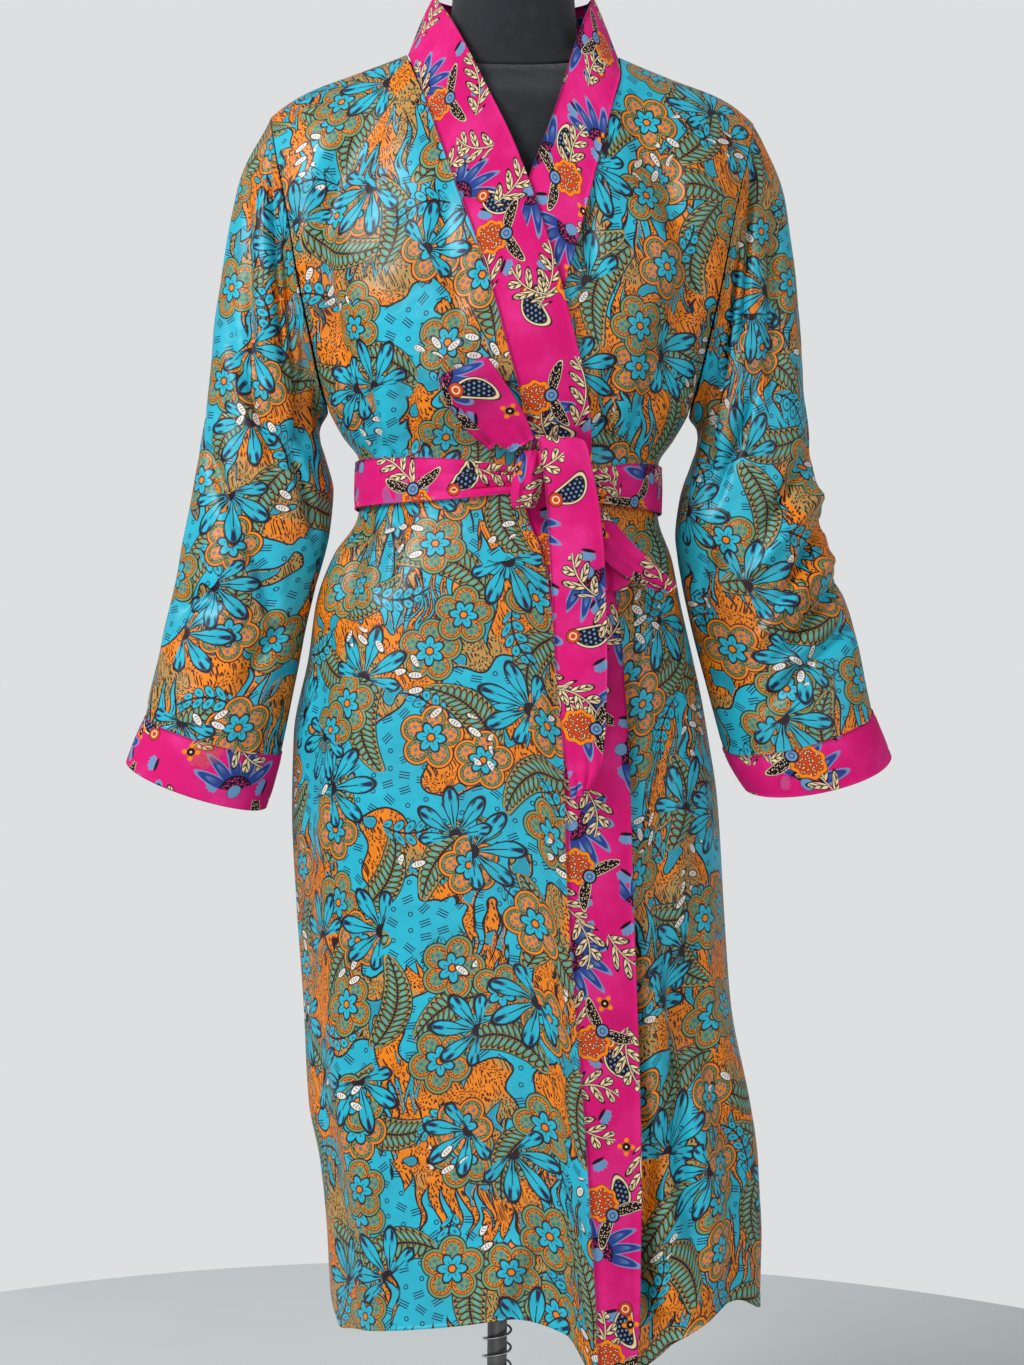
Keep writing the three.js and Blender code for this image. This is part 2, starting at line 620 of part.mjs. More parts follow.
// How far the top edge of the back lies below the shoulder line, where the neckline cuts into it
function startBelow(x) {
  if (Math.abs(x) >= NECK_HALF_WIDTH) return 0;
  const y = NECK_DEPTH_BACK * Math.sqrt(1 - (x / NECK_HALF_WIDTH) ** 2);
  let below = 0;
  for (let k = 0; k < 12; k += 1) {
    const depth = read(ROBE, "z", "back", shoulderZ(x) - below);
    const share = clamp(y / depth, 0, 0.97);
    below = SHOULDER_ROLL_BACK * (1 - Math.sqrt(1 - share * share));
  }
  return below;
}

// Place of a column of the back along the shoulders: one column stands at each end of the neckline
function backX(column, arm) {
  const outer = BACK_SHOULDER_COLUMNS;
  const inner = BACK_COLUMNS - 2 * outer;
  if (column < outer) return -arm + ((arm - NECK_HALF_WIDTH) * column) / outer;
  if (column > BACK_COLUMNS - outer) return arm - ((arm - NECK_HALF_WIDTH) * (BACK_COLUMNS - column)) / outer;
  return -NECK_HALF_WIDTH * Math.cos((Math.PI * (column - outer)) / inner);
}

// The back: columns run from the left side of the photo to the right
function backPanel() {
  const grid = [];
  const startAt = (x) => Math.sqrt(startBelow(x) / (shoulderZ(x) - UNDERARM_Z));
  for (let r = 0; r <= YOKE_ROWS; r += 1) {
    const row = r / YOKE_ROWS;
    const arm = armholeAt(row);
    const line = [];
    for (let c = 0; c <= BACK_COLUMNS; c += 1) {
      const a = c / BACK_COLUMNS;
      if (r === YOKE_ROWS) {
        const turn = 1 - (0.0006 + (0.5 - 0.0012) * a);
        line.push(sectionPoint(turn, UNDERARM_Z, 0));
      } else {
        const level = sectionPoint(1 - 0.5 * a, UNDERARM_Z, 0).x / sectionPoint(0.5, UNDERARM_Z, 0).x;
        const x = backX(c, arm.x) * (1 - row) + level * arm.x * row;
        const z = yokeZ(x, startAt(x), row);
        const point = new THREE.Vector3(x, depthAt(x, z, 1), z);
        if (r === 0) point.y += SEAM_GAP / 2;
        line.push(point);
      }
    }
    grid.push(line);
  }
  for (const level of [...LOWER_ROWS, 0]) {
    const line = [];
    for (let c = 0; c <= BACK_COLUMNS; c += 1) {
      const turn = 1 - (0.0006 + (0.5 - 0.0012) * (c / BACK_COLUMNS));
      let z = level;
      if (level === 0) {
        z = 230;
        for (let k = 0; k < 4; k += 1) z = read(HEM_BACK, "x", "z", sectionPoint(turn, z, 0).x);
      }
      line.push(sectionPoint(turn, z, 0));
    }
    grid.push(line);
  }
  return grid;
}

// Ring of the armhole with the body's own outward direction at each point
function armholeRing(side) {
  const ring = [];
  for (let k = 0; k < SLEEVE_SEGMENTS; k += 1) {
    const front = k <= YOKE_ROWS;
    const row = front ? k / YOKE_ROWS : (SLEEVE_SEGMENTS - k) / YOKE_ROWS;
    const face = front ? -1 : 1;
    const arm = armholeAt(row);
    const here = new THREE.Vector3(side * arm.x, face * depthAt(side * arm.x, arm.z, face), arm.z);
    if (row === 1) here.y = 0;
    const inward = new THREE.Vector3(side * (arm.x - 2), 0, arm.z);
    inward.y = face * depthAt(inward.x, inward.z, face);
    const across = here.clone().sub(inward).normalize();
    const normal = new THREE.Vector3(-across.y * side * face, across.x * side * face, 0);
    if (row === 0) {
      normal.set(side * 0.5, 0, 0.87);
      across.set(side * 0.87, 0, -0.5).multiplyScalar(1.6);
    }
    if (row === 1) normal.set(side, 0, 0);
    ring.push({ here, across: row === 1 ? new THREE.Vector3(side, 0, 0) : across, normal: normal.normalize(), row });
  }
  return ring;
}

function sleeveRing(row, side, along) {
  const ring = [];
  for (let k = 0; k < SLEEVE_SEGMENTS; k += 1) {
    const turn = k / SLEEVE_SEGMENTS;
    const angle = 2 * Math.PI * turn;
    const c = Math.cos(angle);
    const s = Math.sin(angle);
    let fold = 0;
    for (const f of SLEEVE_FOLDS) {
      if (f.side !== side || along < 0) continue;
      let away = turn - f.turn;
      away -= Math.round(away);
      fold += f.depth * Math.exp(-((away / f.wide) ** 2) - ((along - f.along) / f.long) ** 2);
    }
    const scale = 1 - fold / row.depth;
    ring.push(
      new THREE.Vector3(
        (row.outX + row.inX) / 2 + ((row.outX - row.inX) / 2) * c * scale,
        -row.forward - row.depth * s * scale,
        (row.outZ + row.inZ) / 2 + ((row.outZ - row.inZ) / 2) * c * scale - row.drop * s,
      ),
    );
  }
  return ring;
}

function sleeve(name, side, table) {
  const arm = armholeRing(side);
  const lap = (row) => smooth(0.35, 0.9, row);
  const first = arm.map(({ here, across, normal, row }) =>
    here
      .clone()
      .addScaledVector(across, SEAM_GAP + 1.2 * smooth(0.1, 0.4, row) * (1 - lap(row)))
      .addScaledVector(normal, lap(row) * (2 * SATIN + SEAM_GAP)),
  );
  const grid = [first];
  const count = 15;
  for (let i = 0; i <= count; i += 1) {
    const fraction = i / count;
    grid.push(sleeveRing(readAlong(table, fraction), side, 0.12 + 0.88 * fraction));
  }
  return sheet(name, grid, SATIN, {
    closed: true,
    flip: side > 0,
    normalAt: (i, j, own) => {
      if (i > 0) return own;
      const { normal, row } = arm[j];
      return normal.clone().lerp(own, lap(row)).normalize();
    },
  });
}

function cuff(name, side, table) {
  const grid = [];
  for (let i = 0; i <= 2; i += 1) grid.push(sleeveRing(readAlong(table, i / 2), side, -1));
  return sheet(name, grid, VELVET, { closed: true, flip: side > 0 });
}

// A front band: its rows are those of the panel it is sewn to, three columns to its free edge
function frontBand(panel, table, side, lift) {
  const columns = 3;
  const count = table.length - 1;
  const standingRows = table.filter((row) => row.freeY !== undefined).length;
  const rows = filled(table);
  return panel.map((line) => {
    const edge = line[line.length - 1];
    let place = 0;
    let low = 0;
    let high = count;
    for (let k = 0; k < 30; k += 1) {
      place = (low + high) / 2;
      if (read(keyed(rows), "index", "seamZ", place) > edge.z) low = place;
      else high = place;
    }
    const row = readAlong(rows, place / count);
    const seam = edge.clone();
    seam.x -= side * (2 * SEAM_GAP + BAND_TURN * smooth(1355, 1430, edge.z));
    const points = [];
    for (let c = 0; c <= columns; c += 1) {
      const a = c / columns;
      const x = seam.x + (row.freeX - seam.x) * a;
      const z = seam.z + (row.freeZ - seam.z) * a;
      const point = frontPoint(x, z, lift(x, z));
      const standing = 1 - smooth(standingRows - 1.6, standingRows - 0.2, place);
      point.lerp(new THREE.Vector3(x, seam.y + (-row.freeY - lift(x, z) - seam.y) * a, z), standing);
      points.push(c === 0 ? seam : point);
    }
    return points;
  });
}

const keyed = (table) => table.map((row, index) => ({ ...row, index }));

// Rows with their own depth at the free edge keep it; the others take the robe's
function filled(table) {
  return table.map((row) => ({
    ...row,
    freeY: row.freeY === undefined ? -frontPoint(row.freeX, row.freeZ, 0).y : row.freeY,
  }));
}

// The band behind the neck stands on the top edge of the back, between its two shoulder seams
function neckBand(back) {
  const outer = BACK_SHOULDER_COLUMNS;
  const edge = back[0].slice(outer, BACK_COLUMNS - outer + 1);
  return edge.map((point, i) => {
    const row = readAlong(BAND_NECK, i / (edge.length - 1));
    const across = point.x / NECK_HALF_WIDTH;
    const seam = point.clone();
    seam.x *= 1 - BAND_TURN / NECK_HALF_WIDTH;
    seam.y = Math.max(seam.y - 1.4, SEAM_GAP);
    seam.z += 0.9 + 0.7 * across * across;
    const free = new THREE.Vector3(row.freeX, Math.max(row.freeY, SEAM_GAP), row.freeZ);
    return [0, 1, 2, 3].map((c) => seam.clone().lerp(free, c / 3));
  });
}

function beltWaist() {
  const grid = [];
  for (let i = 0; i <= BELT_COLUMNS; i += 1) {
    const row = readAlong(BELT_WAIST, i / BELT_COLUMNS);
    const line = [];
    for (let c = 0; c <= 2; c += 1) {
      const z = row.z + row.half * (c - 1);
      const middle = sectionPoint(row.turn, row.z, row.out);
      const edge = sectionPoint(row.turn, z, row.out);
      middle.z = z;
      middle.x = middle.x * 0.7 + edge.x * 0.3;
      middle.y = middle.y * 0.7 + edge.y * 0.3;
      line.push(middle);
    }
    grid.push(line);
  }
  return grid;
}

// A stretch of belt through a table of middles and half widths
function strip(table, rowCount, columns) {
  const grid = [];
  for (let i = 0; i <= rowCount; i += 1) {
    const row = readAlong(table, i / rowCount);
    const line = [];
    for (let c = 0; c <= columns; c += 1) {
      const a = (2 * c) / columns - 1;
      line.push(new THREE.Vector3(row.x + row.hx * a, row.y - 2.5 * (1 - a * a), row.z + row.hz * a));
    }
    grid.push(line);
  }
  return grid;
}

function knot() {
  const rings = [];
  const levels = 7;
  for (let i = 0; i <= levels; i += 1) {
    const v = (2 * i) / levels - 1;
    const size = 0.55 + 0.45 * Math.sqrt(1 - (0.96 * v) ** 2);
    const ring = [];
    for (let k = 0; k < 14; k += 1) {
      const angle = (2 * Math.PI * k) / 14;
      const c = Math.cos(angle);
      const s = Math.sin(angle);
      ring.push(
        new THREE.Vector3(
          KNOT.x + KNOT.lean * v + KNOT.halfX * size * Math.sign(c) * Math.abs(c) ** 0.8,
          KNOT.y - KNOT.halfY * size * Math.sign(s) * Math.abs(s) ** 0.8,
          KNOT.z + KNOT.halfZ * v,
        ),
      );
    }
    rings.push(ring);
  }
  return loft("belt_knot", rings);
}

// Height of a ring of the form: the neck seam dips in front and rises behind
const tilted = (z, y, high, s) => z + high * NECK_TILT * clamp(y, -60, 60) * Math.abs(s) ** 0.5;

// Ring of the dress form, kept a little inside the robe where the cloth rests on it
function formRing(row) {
  const ring = [];
  for (let k = 0; k < FORM_COLUMNS; k += 1) {
    const angle = (2 * Math.PI * k) / FORM_COLUMNS;
    const c = Math.cos(angle);
    const s = Math.sin(angle);
    const face = s >= 0 ? -1 : 1;
    const x = row.half * Math.sign(c) * Math.abs(c) ** (2 / SECTION_POWER);
    const high = smooth(1378, 1427, row.z);
    let y = (face < 0 ? row.front : row.back) * Math.abs(s) ** (2 / SECTION_POWER);
    if (row.z > UNDERARM_Z) {
      for (let step = 0; step < 6; step += 1) {
        const z = tilted(row.z, face * y, high, s);
        let limit = depthAt(x, z, face) - (face < 0 ? FORM_CLEARANCE_FRONT : FORM_CLEARANCE_BACK);
        if (face > 0 && z > shoulderZ(x) - startBelow(x) - NECK_ROOM) {
          const share = Math.min(1, Math.abs(x) / (NECK_HALF_WIDTH - NECK_ROOM));
          limit = (NECK_DEPTH_BACK - NECK_ROOM) * Math.sqrt(1 - share * share);
        }
        y = Math.min(y, Math.max(0, limit));
        if (face < 0 && Math.abs(x) < 62) break;
      }
    }
    ring.push(new THREE.Vector3(x, face * y, tilted(row.z, face * y, high, s)));
  }
  return ring;
}

function neckRing(row) {
  const ring = [];
  for (let k = 0; k < FORM_COLUMNS; k += 1) {
    const angle = (2 * Math.PI * k) / FORM_COLUMNS;
    const c = Math.cos(angle);
    const s = Math.sin(angle);
    const face = s >= 0 ? -1 : 1;
    const x = row.half * Math.sign(c) * Math.abs(c) ** (2 / SECTION_POWER);
    const y = (face < 0 ? row.front : row.back) * Math.abs(s) ** (2 / SECTION_POWER);
    const high = 1 - smooth(1427, 1528, row.z);
    ring.push(new THREE.Vector3(x, face * y, tilted(row.z, face * y, high, s)));
  }
  return ring;
}

function circle(radius, z, count) {
  const ring = [];
  for (let k = 0; k < count; k += 1) {
    const angle = (2 * Math.PI * k) / count;
    ring.push(new THREE.Vector3(radius * Math.cos(angle), -radius * Math.sin(angle), z));
  }
  return ring;
}

function spring() {
  const rings = [];
  const total = SPRING.turns * SPRING.steps;
  for (let i = 0; i <= total; i += 1) {
    const angle = (2 * Math.PI * i) / SPRING.steps;
    const z = SPRING.low + SPRING.wire + ((SPRING.high - SPRING.low) * i) / total;
    const ring = [];
    for (let k = 0; k < SPRING.sides; k += 1) {
      const turn = (2 * Math.PI * k) / SPRING.sides;
      const radius = SPRING.radius + SPRING.wire * Math.cos(turn);
      ring.push(new THREE.Vector3(radius * Math.cos(angle), radius * Math.sin(angle), z + SPRING.wire * Math.sin(turn)));
    }
    rings.push(ring);
  }
  return loft("stand_spring", rings);
}

function base() {
  const rings = BASE_PROFILE.filter(([radius]) => radius > 0).map(([radius, z]) => circle(radius, z, 32));
  return loft("stand_base", rings);
}

const noLift = () => 0;
const flatLift = (x, z) => topLift(z);

const robe = new THREE.Group();
robe.name = "kimono_robe";
const frontRight = frontPanel(-1, BAND_RIGHT, rightLift);
const frontLeft = frontPanel(1, BAND_LEFT, noLift);
robe.add(sheet("robe_front_right", frontRight, SATIN));
robe.add(sheet("robe_front_left", frontLeft, SATIN, { flip: true }));
const back = backPanel();
robe.add(sheet("robe_back", back, SATIN, { flip: true }));
robe.add(sleeve("sleeve_right", -1, SLEEVE_RIGHT));
robe.add(sleeve("sleeve_left", 1, SLEEVE_LEFT));
robe.add(cuff("cuff_right", -1, CUFF_RIGHT));
robe.add(cuff("cuff_left", 1, CUFF_LEFT));
robe.add(sheet("band_front_right", frontBand(frontRight, BAND_RIGHT, -1, flatLift), VELVET));
robe.add(sheet("band_front_left", frontBand(frontLeft, BAND_LEFT, 1, noLift), VELVET, { flip: true }));
robe.add(sheet("band_neck", neckBand(back), VELVET));
robe.add(sheet("belt_waist", beltWaist(), VELVET, { flip: true }));
robe.add(sheet("belt_loop_upper", strip(LOOP_UPPER, 18, 2), VELVET, { flip: true }));
robe.add(sheet("belt_loop_lower", strip(LOOP_LOWER, 5, 2), VELVET));
robe.add(sheet("belt_tail_front", strip(TAIL_FRONT, 20, 2), VELVET));
robe.add(sheet("belt_tail_side", strip(TAIL_SIDE, 6, 2), VELVET));
robe.add(knot());
robe.add(loft("form_torso", FORM.map(formRing)));
robe.add(loft("form_neck", NECK.map(neckRing)));
robe.add(loft("stand_pole", [circle(POLE_RADIUS, HUB_TOP + 0.3, 20), circle(POLE_RADIUS, FORM[0].z - 0.3, 20)]));
robe.add(spring());
robe.add(base());

export default robe;
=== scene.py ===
"""Kimono robe of printed satin with velvet bands and belt, on a black dress form and its stand."""

import logging
import math
from dataclasses import dataclass
from enum import Enum

import bpy
import numpy as np
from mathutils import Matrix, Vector


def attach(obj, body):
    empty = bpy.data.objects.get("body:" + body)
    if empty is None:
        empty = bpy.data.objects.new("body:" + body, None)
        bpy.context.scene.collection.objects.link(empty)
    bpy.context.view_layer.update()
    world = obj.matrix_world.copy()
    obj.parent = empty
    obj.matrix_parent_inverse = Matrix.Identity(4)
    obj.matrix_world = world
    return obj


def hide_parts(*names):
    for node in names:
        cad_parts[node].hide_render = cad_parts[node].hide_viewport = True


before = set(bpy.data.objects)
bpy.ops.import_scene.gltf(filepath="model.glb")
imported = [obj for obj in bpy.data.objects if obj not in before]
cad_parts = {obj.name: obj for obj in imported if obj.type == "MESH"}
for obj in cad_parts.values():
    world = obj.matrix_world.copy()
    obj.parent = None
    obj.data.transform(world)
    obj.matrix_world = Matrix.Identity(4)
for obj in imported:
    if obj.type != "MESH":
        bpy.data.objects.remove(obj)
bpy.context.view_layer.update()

logging.basicConfig(level=logging.INFO, format="%(message)s")
LOG = logging.getLogger("robe")

MM = 0.001

# Robe sections in millimetres: height, left edge, right edge, depth to the front, depth to the back
SECTIONS = (
    (180, -138, 247, 150, 133),
    (240, -160, 250, 150, 133),
    (300, -163, 250, 149, 133),
    (366, -172, 246, 148, 132),
    (420, -184, 240, 146, 132),
    (520, -191, 221, 143, 132),
    (615, -199, 213, 140, 131),
    (710, -204, 206, 137, 130),
    (773, -203, 196, 134, 130),
    (850, -189, 180, 129, 126),
    (900, -182, 168, 123, 118),
    (945, -166, 159, 116, 107),
    (986, -143, 145, 108, 92),
    (1012, -141, 143, 108, 91),
    (1039, -143, 145, 109, 92),
    (1060, -158, 158, 120, 102),
    (1085, -172, 172, 128, 106),
    (1150, -198, 198, 132.5, 111),
    (1206, -218, 218, 128, 112),
    (1277, -240, 240, 112, 109),
    (1330, -252, 252, 94, 101),
    (1380, -262, 262, 80, 93),
    (1480, -262, 262, 62, 86),
)
SHOULDER = ((0, 1476), (50, 1456), (100, 1431), (150, 1411), (200, 1391), (232, 1369), (260, 1330))
ARMHOLE = ((1085, 172), (1100, 176), (1160, 189), (1206, 199), (1277, 212), (1330, 224), (1369, 232))

# Bands: seam x, seam z, free edge x, free edge z, and the free edge's depth where it stands free
BAND_RIGHT = (
    (-102, 1429, -76, 1488, 0),
    (-97, 1412, -65, 1468, 29),
    (-86, 1384, -49, 1437, 52),
    (-71, 1342, -25, 1386, 75),
    (-52, 1288, 1, 1330, 93),
    (-33, 1238, 23, 1270, None),
    (-14, 1180, 43, 1206, None),
    (0, 1130, 58, 1150, None),
    (12, 1084, 71, 1096, None),
    (15, 1040, 75, 1046, None),
    (15, 1004, 76, 1004, None),
    (20, 975, 81, 975, None),
    (30, 950, 90, 950, None),
    (41, 895, 101, 895, None),
    (48, 820, 108, 820, None),
    (54, 750, 113, 750, None),
    (58, 645, 117, 645, None),
    (66, 545, 122, 545, None),
    (75, 449, 127, 449, None),
    (82, 360, 130, 360, None),
    (88, 279, 130, 279, None),
    (93, 192, 127, 190, None),
)
BAND_LEFT = (
    (102, 1429, 76, 1488, 0),
    (103, 1406, 68, 1462, 31),
    (95, 1372, 56, 1420, 57),
    (84, 1326, 42, 1368, 79),
    (65, 1247, 14, 1285, None),
    (50, 1190, -6, 1216, None),
    (35, 1135, -24, 1154, None),
    (20, 1084, -40, 1096, None),
    (2, 1040, -58, 1046, None),
    (-8, 1004, -68, 1004, None),
    (-24, 950, -84, 950, None),
    (-40, 880, -100, 880, None),
    (-52, 750, -110, 750, None),
    (-58, 645, -114, 645, None),
    (-64, 545, -118, 545, None),
    (-70, 449, -120, 449, None),
    (-72, 360, -120, 360, None),
    (-70, 279, -115, 279, None),
    (-66, 240, -108, 240, None),
)
BAND_NECK = (
    (-76, 0, 1488),
    (-74, 26, 1491),
    (-57, 50, 1492),
    (0, 72, 1490),
    (57, 50, 1492),
    (74, 26, 1491),
    (76, 0, 1488),
)
HEM_FRONT = (
    (-160, 205),
    (-110, 226),
    (-20, 243),
    (16, 249),
    (62, 236),
    (93, 193),
    (130, 200),
    (165, 223),
    (225, 250),
    (250, 236),
)
HEM_BACK = ((-160, 205), (-60, 226), (60, 230), (160, 222), (250, 236))

# Largest folds of the skirt: turn round the body, width in turns, depth, lowest and highest point
SKIRT_FOLDS = (
    (0.075, 0.03, 7, 180, 560),
    (0.3, 0.022, 6, 180, 760),
    (0.365, 0.018, -6, 180, 900),
    (0.41, 0.018, 8, 180, 880),
    (0.455, 0.02, -5, 180, 640),
    (0.56, 0.03, 9, 180, 720),
    (0.66, 0.034, 10, 180, 860),
    (0.76, 0.03, 10, 180, 800),
    (0.86, 0.034, 9, 180, 760),
    (0.95, 0.026, 7, 180, 640),
)

# Sleeve sections: outer x and z, inner x and z, distance forward, half depth, drop of the front
SLEEVE_RIGHT = (
    (-262, 1304, -183, 1066, 0, 58, 0),
    (-275, 1238, -177, 1040, 3, 55, 0),
    (-283, 1170, -169, 1008, 8, 52, 1),
    (-288, 1100, -171, 974, 13, 50, 2),
    (-298, 1022, -178, 934, 18, 49, 3),
    (-310, 950, -190, 884, 23, 48, 4),
    (-325, 876, -201, 828, 27, 47, 6),
    (-342, 790, -214, 757, 30, 46, 8),
)
SLEEVE_LEFT = (
    (260, 1306, 184, 1066, 0, 58, 0),
    (272, 1246, 178, 1040, 3, 55, 0),
    (280, 1175, 167, 1004, 8, 52, 1),
    (285, 1098, 163, 968, 13, 50, 3),
    (297, 1014, 169, 926, 18, 49, 6),
    (312, 945, 180, 876, 22, 49, 9),
    (334, 880, 194, 824, 26, 47, 12),
    (350, 803, 210, 766, 30, 46, 16),
)
CUFF_RIGHT = (
    (-342.1, 789.5, -214.1, 756.5, 30, 46, 8),
    (-351, 767, -221, 730, 31, 46, 9),
    (-359, 746, -228, 705, 32, 47, 10),
)
CUFF_LEFT = (
    (350.1, 802.5, 210.1, 765.5, 30, 46, 16),
    (359, 781, 220, 747, 31, 46, 17),
    (368, 760, 231, 730, 32, 46, 18),
)
# Wrinkles of the sleeves: side, turn, place along, width in turns, length, depth
SLEEVE_FOLDS = (
    (-1, 0.12, 0.3, 0.05, 0.3, 3),
    (-1, 0.3, 0.62, 0.06, 0.22, 2.5),
    (-1, 0.75, 0.5, 0.06, 0.3, 3.5),
    (1, 0.16, 0.34, 0.05, 0.26, 3),
    (1, 0.1, 0.78, 0.16, 0.035, 4),
    (1, 0.13, 0.9, 0.16, 0.03, 3.5),
    (1, 0.72, 0.6, 0.07, 0.25, 3.5),
)

# Belt round the waist: turn, centre height, half height, distance outwards
BELT_WAIST = (
    (0.258, 1013, 10, 7.4),
    (0.24, 1013, 13, 7.4),
    (0.2, 1013, 18, 7.2),
    (0.13, 1013, 21, 7.2),
    (0.03, 1013, 22, 4.4),
    (-0.1, 1012, 22, 3.5),
    (-0.25, 1011, 22, 3.5),
    (-0.4, 1012, 22, 3.5),
    (-0.53, 1012, 22, 3.8),
    (-0.62, 1011, 20, 7.4),
    (-0.668, 1009, 15, 8.8),
    (-0.71, 1010, 11, 8.8),
    (-0.728, 1011, 9, 8.8),
)
# Stretches of the tied belt: middle x, y, z and half width across x and z
LOOP_UPPER = (
    (13.2, -136, 1043, 11, 6),
    (0, -142, 1058, 17, 10),
    (-18, -149, 1080, 21, 12),
    (-33, -154, 1100, 23, 11),
    (-41, -152, 1111, 23, 10),
    (-43, -145, 1110, 23, 10),
    (-36, -139.6, 1092, 22, 11),
    (-22, -136.1, 1070, 19, 12),
    (-6, -131, 1047, 12, 8),
)
TAIL_FRONT = (
    (42.8, -134.6, 1050, 19, -1),
    (49, -141, 1046, 21, -1),
    (54, -144, 1026, 21.5, 0),
    (60, -146, 990, 23, 1),
    (64, -147, 945, 24, 2),
    (67, -147, 900, 24, 2),
    (69, -147, 850, 23, 2),
    (72, -149, 790, 20, 0),
    (73, -150, 748, 14, 3),
    (70, -150, 724, 6, 4),
)
TAIL_SIDE = (
    (84, -129, 970, 4, 15),
    (102, -126, 949, 6, 14),
    (128, -117, 929, 6, 9),
    (153, -104, 914, 3, 3),
)
LOOP_LOWER = (
    (88, -115.6, 968, 12, 1),
    (96, -118.3, 948, 15, 1),
    (99, -118, 925, 14.5, 1),
    (98, -116.5, 912, 12, 0),
)

# Dress form: height, half width, depth to the front, depth to the back
FORM = (
    (742, 166, 98, 106),
    (760, 172, 104, 113),
    (800, 172, 108, 116),
    (860, 162, 106, 112),
    (930, 142, 98, 96),
    (1000, 130, 92, 82),
    (1060, 137, 103, 90),
    (1110, 146, 116, 96),
    (1155, 154, 122, 100),
    (1210, 162, 114, 104),
    (1270, 172, 100, 103),
    (1320, 180, 86, 96),
    (1355, 183, 78, 90),
    (1378, 180, 74, 86),
    (1392, 168, 66, 84),
    (1402, 150, 63, 80),
    (1412, 124, 60, 75),
    (1420, 98, 57, 69),
    (1427, 76, 54, 64),
)
NECK = (
    (1427.4, 75.6, 53.6, 63.6),
    (1440, 66, 53, 61),
    (1462, 61, 53, 59),
    (1505, 58, 51, 57),
    (1528, 57, 50, 56),
    (1534, 52, 46, 51),
)
BASE_PROFILE = ((176, 0), (180, 4), (180, 10), (172, 16), (90, 30), (40, 44), (24, 60), (19, 96))

# Ends of the armhole, roll of the shoulder, half width and depth of the neck
UNDERARM_Z = 1085.0
SHOULDER_TOP = 1369.0
ROLL_FRONT = 92.0
ROLL_BACK = 84.0
NECK_HALF = 102.0
NECK_BACK = 82.0
# How square a section is, and how far bands stand out, pieces stand apart and bands turn up
POWER = 2.35
LIFT = 4.8
SEAM = 0.35
BAND_TURN = 2.4
# Thickness of the two cloths in the solids
SATIN = 1.2
VELVET = 2.4
# Room between the form and the robe, and the slant of the neck's rows
FORM_BACK_ROOM = 9.0
NECK_ROOM = 10.0
NECK_TILT = 0.3
# Strength of the listed folds and of the slow swell between them
FOLD_DEPTH = 2.9
SWELL = 2.4
# Height of the hem's stitches above its edge
HEM_HEIGHT = 14.0
# How far a front is tucked under the back at the side seam
SIDE_LAP = 1.8

Array = np.ndarray


class Side(Enum):
    """The viewer's left or right."""

    LEFT = -1
    RIGHT = 1


class Face(Enum):
    """Towards the front or the back of the robe."""

    FRONT = -1
    BACK = 1


class Curve:
    """A column of a table, read smoothly and without overshoot between its rows."""

    def __init__(self, keys: Array, values: Array) -> None:
        """Keep the rows in rising order of their keys."""
        order = np.argsort(keys)
        self.keys = np.asarray(keys, float)[order]
        self.values = np.asarray(values, float)[order]
        shape = (-1,) + (1,) * (self.values.ndim - 1)
        rise = np.diff(self.values, axis=0) / np.diff(self.keys).reshape(shape)
        before, after = rise[:-1], rise[1:]
        total = np.where(before + after == 0, 1.0, before + after)
        inner = np.where(before * after > 0, 2 * before * after / total, 0.0)
        self.slopes = np.concatenate([rise[:1], inner, rise[-1:]])

    def __call__(self, at: Array | float) -> Array:
        """Value at a key, or at each of an array of keys."""
        at = np.clip(np.asarray(at, float), self.keys[0], self.keys[-1])
        i = np.clip(np.searchsorted(self.keys, at, side="right") - 1, 0, len(self.keys) - 2)
        span = self.keys[i + 1] - self.keys[i]
        t = (at - self.keys[i]) / span
        extra = (1,) * (self.values.ndim - 1)
        t, span = t.reshape(t.shape + extra), span.reshape(span.shape + extra)
        t2, t3 = t * t, t * t * t
        return (
            (2 * t3 - 3 * t2 + 1) * self.values[i]
            + (t3 - 2 * t2 + t) * span * self.slopes[i]
            + (3 * t2 - 2 * t3) * self.values[i + 1]
            + (t3 - t2) * span * self.slopes[i + 1]
        )


def along(table: Array) -> Curve:
    """A table read by the place of its rows, from 0 to 1."""
    rows = np.asarray(table, float)
    return Curve(np.linspace(0, 1, len(rows)), rows)


def smooth(low: float | Array, high: float | Array, value: Array) -> Array:
    """Ease from 0 at low to 1 at high."""
    t = np.clip((value - low) / (high - low), 0, 1)
    return t * t * (3 - 2 * t)


_rows = np.asarray(SECTIONS, float)
LEFT_AT = Curve(_rows[:, 0], _rows[:, 1])
RIGHT_AT = Curve(_rows[:, 0], _rows[:, 2])
DEPTH_AT = {Face.FRONT: Curve(_rows[:, 0], _rows[:, 3]), Face.BACK: Curve(_rows[:, 0], _rows[:, 4])}
SHOULDER_AT = Curve(*np.asarray(SHOULDER, float).T)
ARMHOLE_AT = Curve(*np.asarray(ARMHOLE, float).T)
HEM_FRONT_AT = Curve(*np.asarray(HEM_FRONT, float).T)
HEM_BACK_AT = Curve(*np.asarray(HEM_BACK, float).T)


def shoulder_z(x: Array) -> Array:
    """Height of the shoulder ridge."""
    return SHOULDER_AT(np.abs(x))


